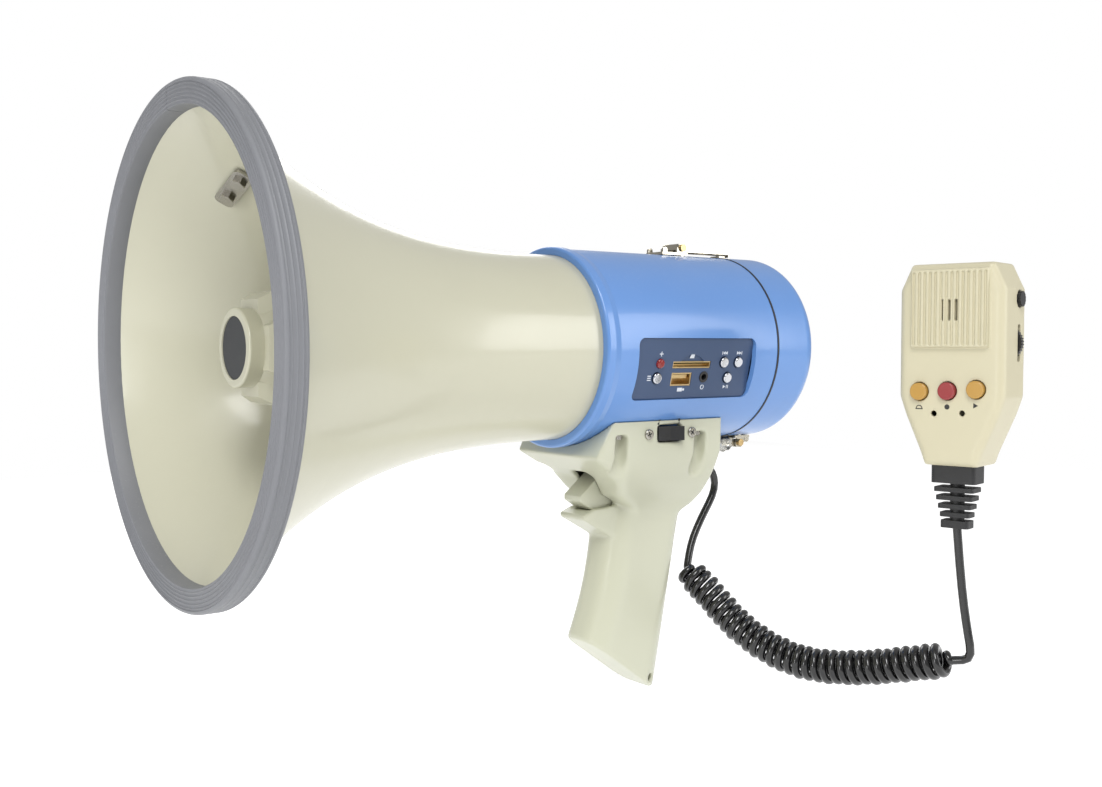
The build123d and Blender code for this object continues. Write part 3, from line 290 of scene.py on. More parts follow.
# %% Group: moulded surface
def make_moulded_surface():
    tree, given, result = new_group(
        "moulded_surface",
        {"Color": ("colour", (0.8, 0.8, 0.8, 1)), "Tone Shift": ("value", 0.06),
         "Patch Scale": ("value", 18.0), "Roughness": ("value", 0.35), "Rough Shift": ("value", 0.08),
         "Grain Scale": ("value", 2600.0), "Grain": ("value", 0.3)},
        {"Color": "colour", "Roughness": "value", "Height": "value"})
    where = add_node(tree, "ShaderNodeTexCoord").outputs["Object"]
    patches = noise(tree, where, given.outputs["Patch Scale"], detail=4.0, roughness=0.6)
    centred = maths(tree, "SUBTRACT", patches, 0.5)
    tone = maths(tree, "ADD", maths(tree, "MULTIPLY", centred, given.outputs["Tone Shift"]), 1.0)
    scaled = add_node(tree, "ShaderNodeVectorMath", operation="SCALE")
    join(tree, given.outputs["Color"], scaled.inputs[0])
    join(tree, tone, scaled.inputs["Scale"])
    join(tree, scaled.outputs[0], result.inputs["Color"])
    smudges = noise(tree, where, 65.0, detail=5.0, roughness=0.65, distortion=0.4)
    uneven = maths(tree, "MULTIPLY", maths(tree, "SUBTRACT", smudges, 0.45), given.outputs["Rough Shift"])
    join(tree, maths(tree, "ADD", given.outputs["Roughness"], uneven, clamp=True), result.inputs["Roughness"])
    grain = noise(tree, where, given.outputs["Grain Scale"], detail=2.0)
    flow = noise(tree, where, 120.0, detail=1.0)
    height = maths(tree, "ADD", maths(tree, "MULTIPLY", grain, given.outputs["Grain"]), flow)
    join(tree, height, result.inputs["Height"])
    return tree


# %% [markdown]
# Handling polishes and chips an edge before a face. A Bevel node rounds the normal near an edge, so where it
# differs from the true normal there is an edge. Painting a mask by hand would tie it to one mesh. Noise
# breaks the mask up, because real wear comes in spots.

# %% Group: edge wear
def make_edge_wear():
    tree, given, result = new_group(
        "edge_wear", {"Width": ("value", 0.0008), "Breakup Scale": ("value", 420.0)}, {"Mask": "value"})
    where = add_node(tree, "ShaderNodeTexCoord").outputs["Object"]
    rounded = add_node(tree, "ShaderNodeBevel", samples=4)
    join(tree, given.outputs["Width"], rounded.inputs["Radius"])
    facing = add_node(tree, "ShaderNodeVectorMath", operation="DOT_PRODUCT")
    join(tree, rounded.outputs[0], facing.inputs[0])
    join(tree, add_node(tree, "ShaderNodeNewGeometry").outputs["Normal"], facing.inputs[1])
    turned = maths(tree, "SUBTRACT", 1.0, facing.outputs["Value"])
    edge = maths(tree, "MULTIPLY", maths(tree, "SUBTRACT", turned, 0.04), 6.0, clamp=True)
    breakup = noise(tree, where, given.outputs["Breakup Scale"], detail=3.0)
    spots = maths(tree, "MULTIPLY", maths(tree, "SUBTRACT", breakup, 0.42), 5.0, clamp=True)
    join(tree, maths(tree, "MULTIPLY", edge, spots), result.inputs["Mask"])
    return tree


# %% [markdown]
# Dust settles on what faces up. The normal's upward share makes the mask, which is cheaper than simulating
# grains, and noise gives it a thin film and a few specks.

# %% Group: settled dust
def make_settled_dust():
    tree, given, result = new_group(
        "settled_dust", {"Amount": ("value", 0.12), "Speck Scale": ("value", 900.0)}, {"Mask": "value"})
    coordinates = add_node(tree, "ShaderNodeTexCoord")
    split = add_node(tree, "ShaderNodeSeparateXYZ")
    join(tree, add_node(tree, "ShaderNodeNewGeometry").outputs["Normal"], split.inputs[0])
    upward = maths(tree, "MULTIPLY", maths(tree, "SUBTRACT", split.outputs["Z"], 0.25), 1.4, clamp=True)
    film = noise(tree, coordinates.outputs["Object"], 45.0, detail=3.0)
    specks = noise(tree, coordinates.outputs["Object"], given.outputs["Speck Scale"], detail=2.0)
    speck_mask = maths(tree, "MULTIPLY", maths(tree, "SUBTRACT", specks, 0.62), 8.0, clamp=True)
    both = maths(tree, "ADD", maths(tree, "MULTIPLY", film, 0.5), speck_mask)
    shown = maths(tree, "MULTIPLY", both, given.outputs["Amount"])
    join(tree, maths(tree, "MULTIPLY", shown, upward, clamp=True), result.inputs["Mask"])
    return tree


moulded_surface = make_moulded_surface()
edge_wear = make_edge_wear()
settled_dust = make_settled_dust()
print("groups", [g.name for g in (moulded_surface, edge_wear, settled_dust)])

# %% [markdown]
# Moulded plastic is a coloured body under a thin gloss. Its colour, its roughness and its bump all come
# from the same group, and the wear and dust masks mix in a paler tone. One function makes every plastic,
# rubber and metal here, because they differ only in the values they give to the groups.

# %% The finishes
def place_group(tree, group, **values):
    made = add_node(tree, "ShaderNodeGroup", node_tree=group)
    for key, value in values.items():
        socket = made.inputs[key.replace("_", " ")]
        socket.default_value = (*value, 1.0) if isinstance(value, tuple) else value
    return made


DUST_COLOUR = (0.72, 0.70, 0.66)
COAT_ROUGHNESS = 0.12
GRAIN_SCALE = 2600.0


def finish(name, colour, rough=0.35, metal=0.0, coat=0.0, tone=0.05, patches=18.0, rough_shift=0.08,
           grain=0.3, bump=0.00006, wear=0.25, wear_colour=None, dust=0.1, **sockets):
    """One material: a moulded surface with worn edges and dust. Other shader sockets are given by name."""
    material = bpy.data.materials.new(name)
    material.use_nodes = True
    tree = material.node_tree
    shader = tree.nodes["Principled BSDF"]
    skin = place_group(tree, moulded_surface, Color=colour, Tone_Shift=tone, Patch_Scale=patches,
                       Roughness=rough, Rough_Shift=rough_shift, Grain=grain, Grain_Scale=GRAIN_SCALE)
    worn = place_group(tree, edge_wear)
    dusty = place_group(tree, settled_dust, Amount=dust)
    paler = wear_colour or tuple(min(1.0, c * 1.25 + 0.03) for c in colour)
    edge = maths(tree, "MULTIPLY", worn.outputs["Mask"], wear)
    with_edges = mixed_colour(tree, edge, skin.outputs["Color"], paler)
    with_dust = mixed_colour(tree, dusty.outputs["Mask"], with_edges, DUST_COLOUR)
    join(tree, with_dust, shader.inputs["Base Color"])
    dusty_shift = maths(tree, "MULTIPLY", dusty.outputs["Mask"], 0.5)
    rougher = maths(tree, "ADD", skin.outputs["Roughness"], dusty_shift, clamp=True)
    join(tree, rougher, shader.inputs["Roughness"])
    bumps = add_node(tree, "ShaderNodeBump")
    bumps.inputs["Distance"].default_value = bump
    join(tree, skin.outputs["Height"], bumps.inputs["Height"])
    join(tree, bumps.outputs[0], shader.inputs["Normal"])
    shader.inputs["Metallic"].default_value = metal
    shader.inputs["Coat Weight"].default_value = coat
    shader.inputs["Coat Roughness"].default_value = COAT_ROUGHNESS
    for key, value in sockets.items():
        shader.inputs[key.replace("_", " ")].default_value = value
    return material


finishes = {
    "horn_cream": finish("cream_horn_plastic", (0.49, 0.48, 0.37), rough=0.30, coat=0.35, tone=0.05),
    "grip_cream": finish("cream_grip_plastic", (0.515, 0.52, 0.405), rough=0.34, coat=0.25, tone=0.04),
    "mic_cream": finish("cream_microphone_plastic", (0.54, 0.5, 0.35), rough=0.42, coat=0.1, tone=0.05,
                        grain=0.6),
    "housing_blue": finish("blue_housing_plastic", (0.115, 0.255, 0.57), rough=0.3, coat=0.3, tone=0.06),
    "guard_grey": finish("grey_guard_rubber", (0.172, 0.177, 0.192), rough=0.5, tone=0.12, patches=40.0,
                         grain=0.8, bump=0.0001),
    "disc_charcoal": finish("charcoal_disc", (0.035, 0.037, 0.04), rough=0.6, wear=0.1, grain=0.9),
    "steel": finish("plated_steel", (0.4, 0.385, 0.35), rough=0.24, metal=1.0, wear=0.1, tone=0.15),
    "diaphragm_film": finish("pressed_film", (0.30, 0.18, 0.07), rough=0.3, coat=0.3),
    "black_rubber": finish("black_rubber", (0.012, 0.012, 0.013), rough=0.5, tone=0.2, grain=0.8,
                           wear_colour=(0.06, 0.06, 0.065), bump=0.0001),
    "latch_plate": finish("nickel_plate", (0.46, 0.43, 0.36), rough=0.2, metal=1.0, tone=0.12, wear=0.15),
    "latch_rivet": finish("brass_rivet", (0.5, 0.36, 0.17), rough=0.25, metal=1.0, tone=0.15),
    "panel_slate": finish("slate_panel", (0.035, 0.065, 0.14), rough=0.42, tone=0.1, grain=0.7),
    "circuit_board": finish("green_board", (0.01, 0.09, 0.03), rough=0.4, coat=0.2, tone=0.2),
    "gilt": finish("gilt_plate", (0.62, 0.46, 0.24), rough=0.3, metal=1.0, tone=0.15),
    "black_plastic": finish("black_plastic", (0.012, 0.012, 0.013), rough=0.32, tone=0.15,
                            wear_colour=(0.07, 0.07, 0.075)),
    "chrome_button": finish("chrome_button", (0.55, 0.56, 0.59), rough=0.14, metal=1.0, tone=0.06),
    "cell_sleeve": finish("cell_sleeve", (0.02, 0.025, 0.04), rough=0.3, coat=0.4),
    "button_amber": finish("amber_button", (0.44, 0.245, 0.045), rough=0.3, coat=0.3, tone=0.08),
    "button_red": finish("red_button", (0.27, 0.027, 0.03), rough=0.3, coat=0.3, tone=0.08),
    "capsule_metal": finish("capsule_can", (0.7, 0.7, 0.7), rough=0.3, metal=1.0),
    "black_cord": finish("black_cord_jacket", (0.004, 0.004, 0.0045), rough=0.22, coat=0.4, tone=0.1,
                         wear=0.0, dust=0.06, rough_shift=0.12),
    "lamp_red": finish("red_lamp", (0.3, 0.01, 0.01), rough=0.15, coat=0.5, Transmission_Weight=0.25,
                       Subsurface_Weight=0.2, Subsurface_Scale=0.001),
}
slot_of = {row["node"]: row["material_slot"] for row in frame["record"]["subparts"]}
for node_name, node_object in frame["nodes"].items():
    for place in node_object.material_slots:
        place.material = finishes[slot_of[node_name]]
cord.data.materials.append(finishes["black_cord"])
print("finishes", len(finishes), "on", len(frame["nodes"]), "nodes")

# %% [markdown]
# The mouth guard is an extruded strip of soft PVC, bent into a ring, with fine ridges along it and its two
# ends butted at the top. Ridges could be a bump, but their edge shows against the light, so they are real:
# one outline with the ridges in it is turned round the horn's axis, and stops short at the joint.

# %% Helpers for meshes
SHARP_ANGLE = math.radians(40)


def mesh_piece(name, vertices, faces, body, slot_name, finish_name=None):
    """A closed mesh that rides on a body. A print has a finish but no slot in the record."""
    data = bpy.data.meshes.new(name)
    data.from_pydata([tuple(v) for v in vertices], [], faces)
    data.validate()
    shape = bmesh.new()
    shape.from_mesh(data)
    bmesh.ops.remove_doubles(shape, verts=shape.verts, dist=1e-7)
    bmesh.ops.recalc_face_normals(shape, faces=shape.faces)
    shape.to_mesh(data)
    shape.free()
    piece = bpy.data.objects.new(name, data)
    bpy.context.scene.collection.objects.link(piece)
    data.materials.append(finishes[finish_name or slot_name])
    data.shade_smooth()
    data.set_sharp_from_angle(angle=SHARP_ANGLE)
    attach(piece, body)
    return piece


def turned_ring(name, outline, body, slot_name, gap_degrees, gap_at, rounds=288):
    """A closed outline of (x, radius) in metres, turned round the horn's axis, open at a joint."""
    vertices, faces = [], []
    count = len(outline)
    for i in range(rounds + 1):
        turn = math.radians(gap_at + gap_degrees / 2 + (360 - gap_degrees) * i / rounds)
        for x, radius in outline:
            vertices.append((x, radius * math.cos(turn), AXIS_Z + radius * math.sin(turn)))
    for i in range(rounds):
        for j in range(count):
            k = (j + 1) % count
            faces.append((i * count + j, i * count + k, (i + 1) * count + k, (i + 1) * count + j))
    faces.append(tuple(range(count)))
    faces.append(tuple(range(rounds * count, (rounds + 1) * count)))
    return mesh_piece(name, vertices, faces, body, slot_name)


# %% [markdown]
# The guard's outline is worked out from the plain ring's box, so that it fits the same rim. Its ridges are a
# row of cosine humps: five across the front face and three along the side, with a quarter round at each
# corner. The humps could be drawn point by point, but one formula keeps them alike.

# %% The mouth guard
GUARD_BORE, GUARD_BACK_RADIUS = 103.5 * MM, 105.9 * MM
FRONT_RIDGES, SIDE_RIDGES, POINTS_PER_RIDGE = 5, 3, 8
FRONT_RIDGE_HEIGHT, SIDE_RIDGE_HEIGHT = 0.45 * MM, 0.3 * MM
CORNER_ROUND, CORNER_STEPS = 1.6 * MM, 6
INSIDE_BOX = 0.05 * MM


def ridge_dip(height, ridges, share):
    """How deep the surface is at a share of the way across a row of ridges."""
    return height * (1 - abs(math.cos(math.pi * ridges * share)) ** 0.5)


def guard_outline():
    low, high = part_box("rim_guard")
    front, back = low.x, high.x
    outer = (high.z - low.z) / 2
    points = [(back - 0.4 * MM, GUARD_BORE), (front + 1.2 * MM, GUARD_BORE),
              (front + 0.5 * MM, GUARD_BORE + 0.5 * MM)]
    first, last = GUARD_BORE + 1.0 * MM, outer - 2.0 * MM
    for i in range(FRONT_RIDGES * POINTS_PER_RIDGE + 1):
        share = i / (FRONT_RIDGES * POINTS_PER_RIDGE)
        depth = FRONT_RIDGE_HEIGHT - ridge_dip(FRONT_RIDGE_HEIGHT, FRONT_RIDGES, share) + INSIDE_BOX
        points.append((front + depth, first + (last - first) * share))
    quarter = [math.radians(90 * i / CORNER_STEPS) for i in range(CORNER_STEPS + 1)]
    for turn in quarter:
        points.append((front + CORNER_ROUND * (1 - math.cos(turn)) + INSIDE_BOX,
                       outer - CORNER_ROUND + CORNER_ROUND * math.sin(turn)))
    for i in range(1, SIDE_RIDGES * POINTS_PER_RIDGE):
        share = i / (SIDE_RIDGES * POINTS_PER_RIDGE)
        dip = ridge_dip(SIDE_RIDGE_HEIGHT, SIDE_RIDGES, share)
        points.append((front + CORNER_ROUND + (back - front - 2 * CORNER_ROUND) * share,
                       outer - SIDE_RIDGE_HEIGHT + dip))
    for turn in quarter:
        points.append((back - CORNER_ROUND * (1 - math.sin(turn)),
                       outer - CORNER_ROUND * (1 - math.cos(turn))))
    points.append((back, GUARD_BACK_RADIUS))
    return points


guard = turned_ring("mouth_guard", guard_outline(), "body", "guard_grey", gap_degrees=0.18, gap_at=86.0)
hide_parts("rim_guard")
print("guard", len(guard.data.polygons), "faces")

# %% [markdown]
# The handle's two shells are moulded with generous rounds where the saddle flows into the grip. Fillets could
# be cut one by one, but on a form like this they meet at awkward corners. Remeshing the closed shells with
# small voxels and relaxing the result rounds every edge together, and a weight on each point keeps the edge
# that fits the housing crisp and gives the neck its broad, soft hollow.

# %% The handle's rounded shells
HANDLE_VOXEL, EDGE_STEPS, NECK_STEPS = 0.9 * MM, 9, 60
RELAX_STRENGTH = 0.5
HOUSING_RADIUS = (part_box("rear_cover")[1].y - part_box("rear_cover")[0].y) / 2


def relax(piece, steps, weight_of):
    """Smooths a mesh, each point by its own weight from 0 to 1."""
    group = piece.vertex_groups.new(name="relax")
    for vertex in piece.data.vertices:
        weight = weight_of(vertex.co)
        if weight > 0:
            group.add([vertex.index], weight, "REPLACE")
    change = piece.modifiers.new("relax", "SMOOTH")
    change.factor = RELAX_STRENGTH
    change.iterations = steps
    change.vertex_group = group.name
    bpy.context.view_layer.update()
    evaluated = piece.evaluated_get(bpy.context.evaluated_depsgraph_get())
    relaxed = bpy.data.meshes.new_from_object(evaluated)
    piece.modifiers.clear()
    piece.vertex_groups.clear()
    piece.data = relaxed


def edge_weight(point):
    """Nothing at the edge that fits the housing, and full a little below it."""
    radius = math.hypot(point.y, point.z - AXIS_Z)
    return eased((radius - HOUSING_RADIUS - 0.6 * MM) / (1.5 * MM))


TRIGGER_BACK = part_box("trigger")[1].x
NECK_TOP, NECK_FOOT = 56 * MM, 122 * MM


def neck_weight(point):
    """Full round the neck, away from the trigger and the strap hole."""
    depth = AXIS_Z - point.z
    across_neck = eased((depth - NECK_TOP) / (10 * MM)) * eased((NECK_FOOT - depth) / (14 * MM))
    behind_trigger = eased((point.x - TRIGGER_BACK - 2 * MM) / (8 * MM))
    beside_trigger = eased((abs(point.y) - 12 * MM) / (6 * MM))
    return across_neck * max(behind_trigger, beside_trigger)


def rounded_shells(name, node_names, slot_name, voxel, rounds):
    """Closed shells made one mesh of small voxels, then relaxed: rounds are (steps, weight) pairs."""
    shape = bmesh.new()
    for node_name in node_names:
        shape.from_mesh(frame["nodes"][node_name].data)
    bmesh.ops.remove_doubles(shape, verts=shape.verts, dist=1e-6)
    data = bpy.data.meshes.new(name)
    shape.to_mesh(data)
    shape.free()
    piece = bpy.data.objects.new(name, data)
    bpy.context.scene.collection.objects.link(piece)
    remesh = piece.modifiers.new("voxels", "REMESH")
    remesh.mode = "VOXEL"
    remesh.voxel_size = voxel
    bpy.context.view_layer.update()
    evaluated = piece.evaluated_get(bpy.context.evaluated_depsgraph_get())
    remade = bpy.data.meshes.new_from_object(evaluated)
    piece.modifiers.clear()
    piece.data = remade
    for steps, weight_of in rounds:
        relax(piece, steps, weight_of)
    piece.data.materials.clear()
    piece.data.materials.append(finishes[slot_name])
    piece.data.shade_smooth()
    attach(piece, "body")
    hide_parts(*node_names)
    return piece


handle = rounded_shells("handle_shells", ("grip_right_shell", "grip_left_shell"), "grip_cream", HANDLE_VOXEL,
                        ((EDGE_STEPS, edge_weight), (NECK_STEPS, neck_weight)))
print("handle", len(handle.data.vertices), "points")

# %% [markdown]
# The microphone's shells get the same treatment, because a palm-sized case has no sharp corner anywhere. Its
# ribbed pad, its button holes and its slots must stay crisp, so a point's weight falls to nothing near them.

# %% The microphone's rounded shells
mic_face = Vector((-0.97318, -0.23005, 0)).normalized()
mic_up = Vector((0, 0, 1))
mic_right = (-mic_face).cross(mic_up).normalized()


def middle(node_name):
    low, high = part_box(node_name)
    return (low + high) / 2


MIC_VOXEL, CASE_STEPS = 0.38 * MM, 50
BUTTON_REACH, WHEEL_REACH, HOLE_REACH = 6.5 * MM, 12 * MM, 3.2 * MM
HOLE_DROP, HOLES_ACROSS = 9.2 * MM, (-8 * MM, 6.5 * MM)
HOLE_DEPTH, FADE = 4 * MM, 2 * MM
mic_middle = (middle("mic_front_shell") + middle("mic_back_shell")) / 2
mic_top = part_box("mic_front_shell")[1].z
crisp_nodes = ("siren_button", "record_button", "replay_button", "mic_knob")
mic_crisp = [(middle(node_name), BUTTON_REACH) for node_name in crisp_nodes]
mic_crisp.append((middle("mic_wheel"), WHEEL_REACH))
for x in HOLES_ACROSS:
    mic_crisp.append((middle("record_button") + mic_right * x - mic_up * HOLE_DROP, HOLE_REACH))
PAD_HALF_WIDTH, PAD_LOW, PAD_HIGH = 21.5 * MM, mic_top - 50.5 * MM, mic_top - 1.0 * MM
PAD_BEHIND = 10 * MM


def case_weight(point):
    """Nothing on the ribbed pad and near the holes, and full elsewhere."""
    offset = point - mic_middle
    sideways, forward = offset.dot(mic_right), offset.dot(mic_face)
    if forward > PAD_BEHIND and abs(sideways) < PAD_HALF_WIDTH and PAD_LOW < point.z < PAD_HIGH:
        return 0.0
    weight = 1.0
    for place, reach in mic_crisp:
        away = point - place
        away -= mic_face * max(-HOLE_DEPTH, min(HOLE_DEPTH, away.dot(mic_face)))
        weight = min(weight, eased((away.length - reach) / FADE))
    return weight


mic_case = rounded_shells("microphone_case", ("mic_front_shell", "mic_back_shell"), "mic_cream", MIC_VOXEL,
                          ((CASE_STEPS, case_weight),))
print("microphone case", len(mic_case.data.vertices), "points")

# %% [markdown]
# The marks by the controls are thin prints on the plastic. They could be an image, but small raised shapes
# stay sharp from close by. Each mark is a few plain outlines, drawn flat and dropped onto the part under it.

# %% Helpers for printed marks
def surface_of(node_name):
    """A search tree over a part's faces, which are in the shared frame."""
    data = frame["nodes"][node_name].data
    points = [vertex.co.copy() for vertex in data.vertices]
    return BVHTree.FromPolygons(points, [list(face.vertices) for face in data.polygons])


def disc(x, y, radius, points=20):
    return [(x + radius * math.cos(2 * math.pi * i / points), y + radius * math.sin(2 * math.pi * i / points))
            for i in range(points)]


def bar(x, y, width, height):
    return [(x - width / 2, y - height / 2), (x + width / 2, y - height / 2),
            (x + width / 2, y + height / 2), (x - width / 2, y + height / 2)]


def arrow(x, y, size, way=1):
    back, tip = x - way * size / 2, x + way * size / 2
    return [(back, y - size * 0.55), (tip, y), (back, y + size * 0.55)]


def hoop(x, y, radius, width, start=0, sweep=360, points=24):
    """Quads that make a ring or part of one."""
    quads = []
    for i in range(points):
        a = math.radians(start + sweep * i / points)
        b = math.radians(start + sweep * (i + 1) / points)
        inner, outer = radius - width / 2, radius + width / 2
        quads.append([(x + r * math.cos(t), y + r * math.sin(t))
                      for r, t in ((inner, a), (outer, a), (outer, b), (inner, b))])
    return quads


PRINT_LIFT, PRINT_SINK = 0.07 * MM, 0.02 * MM
SEARCH_FROM = 20 * MM


def print_marks(name, shapes, origin, right, up, target, body, ink):
    """Flat outlines in millimetres, dropped along the plane's normal onto the target surface."""
    toward = up.cross(right).normalized()
    vertices, faces = [], []
    for shape in shapes:
        ring = []
        for x, y in shape:
            point = origin + right * x * MM + up * y * MM
            hit = target.ray_cast(point - toward * SEARCH_FROM, toward)
            place = (hit[0] if hit[0] else point) - toward * PRINT_LIFT
            ring.append(len(vertices))
            vertices.append(place)
        base = [len(vertices) + i for i in range(len(ring))]
        vertices.extend(vertices[i] + toward * (PRINT_LIFT + PRINT_SINK) for i in ring)
        faces.append(ring)
        faces.append(base[::-1])
        faces.extend((ring[i], base[i], base[(i + 1) % len(ring)], ring[(i + 1) % len(ring)])
                     for i in range(len(ring)))
    return mesh_piece(name, vertices, faces, body, None, ink)


# %% [markdown]
# The panel's ink is a pale grey, the microphone's is black. Ink is a plain finish with a little tone shift.

# %% Marks on the panel
finishes["white_ink"] = finish("white_ink", (0.62, 0.66, 0.72), rough=0.5, wear=0.0, dust=0.0)
# The black ink is real print on the grip and the microphone, and painted shade in the screws' crosses.
finishes["black_ink_and_painted_shade"] = finish("black_ink_and_painted_shade", (0.02, 0.02, 0.02), rough=0.5, wear=0.0, dust=0.0)
PANEL_TILT = math.radians(13)
panel_right = Vector((1, 0, 0))
panel_up = Vector((0, -math.sin(PANEL_TILT), math.cos(PANEL_TILT)))


def panel_marks():
    """Marks beside each control, worked out from where the control is."""
    centre = middle("control_panel")

    def place(node_name, up_by):
        offset = middle(node_name) - centre
        return offset.dot(panel_right) / MM, offset.dot(panel_up) / MM + up_by

    shapes = []
    x, y = place("status_led", 5.0)
    shapes += [bar(x, y, 2.6, 0.5), bar(x, y, 0.5, 2.6)]
    x, y = place("mode_button", 0)
    shapes += [bar(x - 5.2, y + d, 2.4, 0.5) for d in (-1.1, 0, 1.1)]
    x, y = place("card_socket", 4.6)
    shapes += [[(x - 1.6, y - 1.2), (x + 1.6, y - 1.2), (x + 1.6, y + 0.5), (x + 0.9, y + 1.2),
                (x - 1.6, y + 1.2)]]
    x, y = place("usb_socket", -5.6)
    shapes += [bar(x, y, 3.4, 2.0), bar(x + 2.6, y, 1.3, 1.2)]
    x, y = place("aux_socket", -5.6)
    shapes += hoop(x, y, 1.1, 0.45)
    x, y = place("previous_button", 5.0)
    shapes += [arrow(x + 0.9, y, 1.7, -1), arrow(x - 0.7, y, 1.7, -1), bar(x - 1.9, y, 0.4, 1.9)]
    x, y = place("next_button", 5.0)
    shapes += [arrow(x - 0.9, y, 1.7), arrow(x + 0.7, y, 1.7), bar(x + 1.9, y, 0.4, 1.9)]
    x, y = place("play_button", -5.2)
    shapes += [arrow(x - 0.9, y, 1.8), bar(x + 0.8, y, 0.45, 1.9), bar(x + 1.8, y, 0.45, 1.9)]
    return print_marks("panel_marks", shapes, centre, panel_right, panel_up, surface_of("control_panel"),
                       "body", "white_ink")


marks = panel_marks()
print("panel marks", len(marks.data.polygons), "faces")

# %% [markdown]
# The grip has a note and a microphone above its rocker, and the hand microphone has a dome, a dot and an
# arrow under its three buttons. The cross in a screw's head could be cut out, but a thin black cross of
# painted shade stands in for the shade in that cut.

# %% Marks on the grip and the microphone
def grip_marks():
    centre = middle("rocker")
    note = [disc(-8.2, 5.4, 0.55), bar(-7.7, 6.4, 0.3, 2.0), bar(-7.2, 7.3, 1.3, 0.4)]
    microphone = [disc(6.8, 7.0, 0.75), bar(6.8, 5.8, 0.35, 1.4), bar(6.8, 5.1, 1.6, 0.35)]
    return print_marks("grip_marks", note + microphone, centre, Vector((1, 0, 0)), Vector((0, 0, 1)),
                       surface_of("grip_right_shell"), "body", "black_ink_and_painted_shade")


def painted_shade_screw_crosses():
    """A black cross of painted shade in each of the two screws beside the rocker, where the cut slot would be
    shaded.
    """
    centre = middle("rocker")
    screws_and_turns = [(-15.4, 20), (15.4, -35)]
    shapes = []
    for x, turn in screws_and_turns:
        for way in (turn, turn + 90):
            c, d = math.cos(math.radians(way)), math.sin(math.radians(way))
            shapes.append([(x + c * a - d * b, d * a + c * b) for a, b in bar(0, 0, 3.0, 0.6)])
    return print_marks("painted_shade_screw_crosses", shapes, centre, Vector((1, 0, 0)), Vector((0, 0, 1)),
                       surface_of("handle_screws"), "body", "black_ink_and_painted_shade")


def mic_marks():
    centre = middle("record_button")

    def below(node_name, drop=8.0):
        offset = middle(node_name) - centre
        return offset.dot(mic_right) / MM, offset.z / MM - drop

    x, y = below("siren_button")
    shapes = hoop(x, y - 0.6, 1.5, 0.45, 0, 180, 12) + [bar(x, y - 0.8, 3.8, 0.5)]
    x, y = below("record_button")
    shapes += [disc(x, y, 1.3)]
    x, y = below("replay_button")
    shapes += [arrow(x, y, 2.4)]
    return print_marks("microphone_marks", shapes, centre, mic_right, mic_up,
                       surface_of("mic_front_shell"), "body", "black_ink_and_painted_shade")


print("marks", [len(made.data.polygons) for made in (grip_marks(), painted_shade_screw_crosses(), mic_marks())])

# %% [markdown]
# The lower latch still wears its packing film, a creased clear bag. Cloth simulation could crumple it, but at
# this size a tube creased by a few crossed waves looks the same, and it can stay clear of the housing above.

# %% The film on the lower latch
finishes["clear_film"] = finish("creased_clear_film", (0.93, 0.95, 0.97), rough=0.08, wear=0.0, dust=0.0,
                                tone=0.02, bump=0.0003, Transmission_Weight=0.92, IOR=1.38)


FILM_HALF_WIDTH, FILM_HALF_DEPTH, FILM_DROP = 7.2, 4.6, 0.9


def latch_film():
    """A closed bag round the lever, creased by waves that run along and round it."""
    low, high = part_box("lower_latch_lever")
    first, last = low.x - 3.5 * MM, high.x - 4.5 * MM
    middle_z, roof = (low.z + high.z) / 2, high.z - 0.1 * MM
    rings, around = 44, 56
    vertices, faces = [], []
    for i in range(rings + 1):
        share = i / rings
        swell = min(1.0, 4.5 * share, 5.5 * (1 - share)) ** 0.5
        x = first + (last - first) * share
        for j in range(around):
            turn = 2 * math.pi * j / around
            crease = 0.5 * math.sin(54 * share + 3 * turn) * math.sin(5 * turn - 11 * share)
            crease += 0.35 * math.sin(31 * share + 7 * turn)
            y = (FILM_HALF_WIDTH + crease) * swell * math.cos(turn) * MM
            z = middle_z + ((FILM_HALF_DEPTH + crease) * swell * math.sin(turn) - FILM_DROP) * MM
            vertices.append((x, y, min(z, roof)))
    for i in range(rings):
        for j in range(around):
            k = (j + 1) % around
            faces.append((i * around + j, i * around + k, (i + 1) * around + k, (i + 1) * around + j))
    faces.append(tuple(range(around)))
    faces.append(tuple(range(rings * around, (rings + 1) * around)))
    return mesh_piece("latch_film", vertices, faces, "lower_latch_lever", "clear_film")


print("film", len(latch_film().data.polygons), "faces")

# %% [markdown]
# The floor is plain and pale, far enough below to take only a soft shadow. Broad area lights stand in for a
# studio's softboxes: they make the long soft highlights that show how round the horn and the housing are.

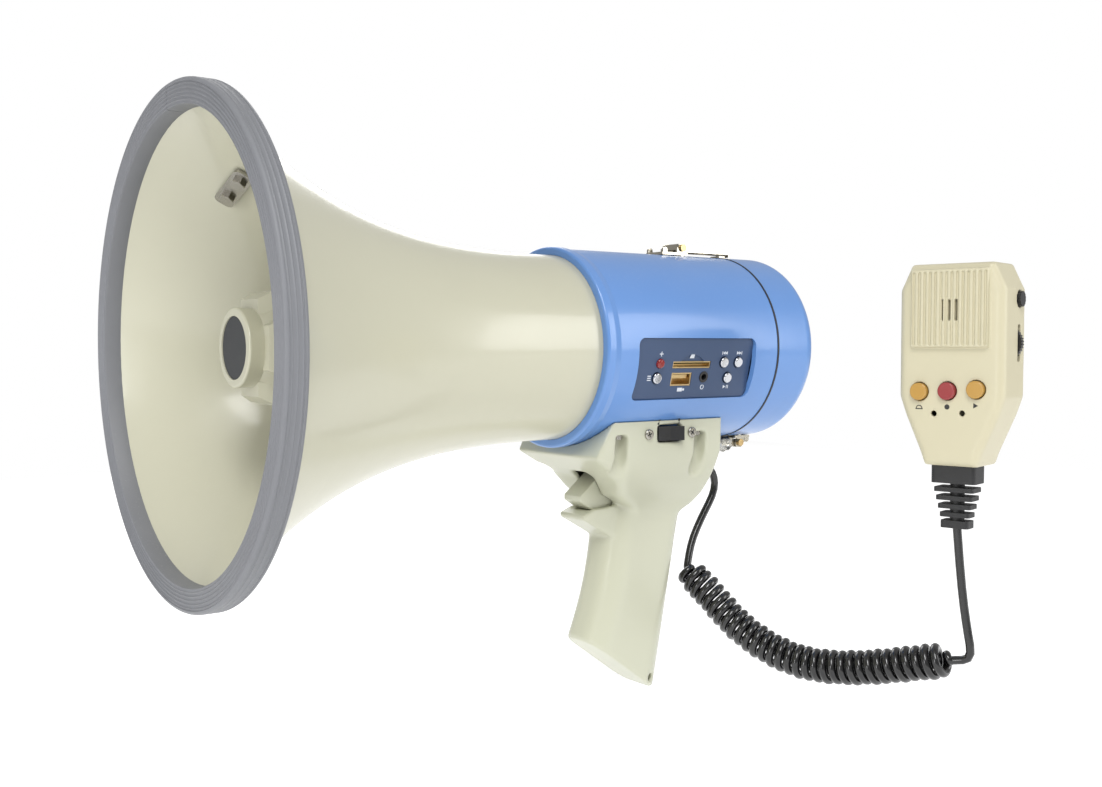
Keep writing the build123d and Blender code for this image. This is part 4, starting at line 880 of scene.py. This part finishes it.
# %% Floor, lights and world
floor_mesh = bpy.data.meshes.new("floor")
reach, floor_z = 1.6, frame_box[0].z - 0.03
floor_mesh.from_pydata([(-reach, -reach, floor_z), (reach, -reach, floor_z), (reach, reach, floor_z),
                        (-reach, reach, floor_z)], [], [(0, 1, 2, 3)])
floor = bpy.data.objects.new("floor", floor_mesh)
bpy.context.scene.collection.objects.link(floor)
floor_finish = bpy.data.materials.new("pale_floor")
floor_finish.use_nodes = True
floor_shader = floor_finish.node_tree.nodes["Principled BSDF"]
floor_shader.inputs["Base Color"].default_value = (0.93, 0.93, 0.93, 1)
floor_shader.inputs["Roughness"].default_value = 0.9
floor_shader.inputs["Specular IOR Level"].default_value = 0.1
floor_shader.inputs["Emission Color"].default_value = (1, 1, 1, 1)
floor_shader.inputs["Emission Strength"].default_value = 0.42
floor_mesh.materials.append(floor_finish)


def softbox(name, place, aim, size, power, height=None):
    """A rectangle of light at a place, turned to an aim, and hidden from the camera itself."""
    data = bpy.data.lights.new(name, "AREA")
    data.shape = "RECTANGLE"
    data.size = size
    data.size_y = height or size
    data.energy = power
    light = bpy.data.objects.new(name, data)
    bpy.context.scene.collection.objects.link(light)
    light.visible_camera = False
    light.location = place
    light.rotation_mode = "QUATERNION"
    light.rotation_quaternion = (Vector(aim) - Vector(place)).to_track_quat("-Z", "Y")


softbox("key", (-0.75, -1.0, 1.35), (0, 0, 0.1), 0.55, 19, height=0.9)
softbox("side", (1.1, -1.3, 0.55), (0.05, 0, 0.1), 0.5, 8, height=1.0)
softbox("front", (-1.5, -0.35, 0.25), (-0.2, 0, 0.12), 0.28, 5, height=0.5)
softbox("back", (0.6, 1.5, 1.1), (0, 0, 0.1), 1.0, 8)
world = bpy.data.worlds.new("studio")
bpy.context.scene.world = world
world.use_nodes = True
sky = world.node_tree.nodes["Background"]
LIT_STRENGTH, EXTRA_WHEN_SEEN = 0.45, 0.55
seen = add_node(world.node_tree, "ShaderNodeLightPath").outputs["Is Camera Ray"]
extra = maths(world.node_tree, "MULTIPLY", seen, EXTRA_WHEN_SEEN)
join(world.node_tree, maths(world.node_tree, "ADD", extra, LIT_STRENGTH), sky.inputs["Strength"])
sky.inputs["Color"].default_value = (1, 1, 1, 1)
bpy.context.scene.view_settings.view_transform = "Standard"
print("floor at", round(floor_z, 3), "lights", len(bpy.data.lights))
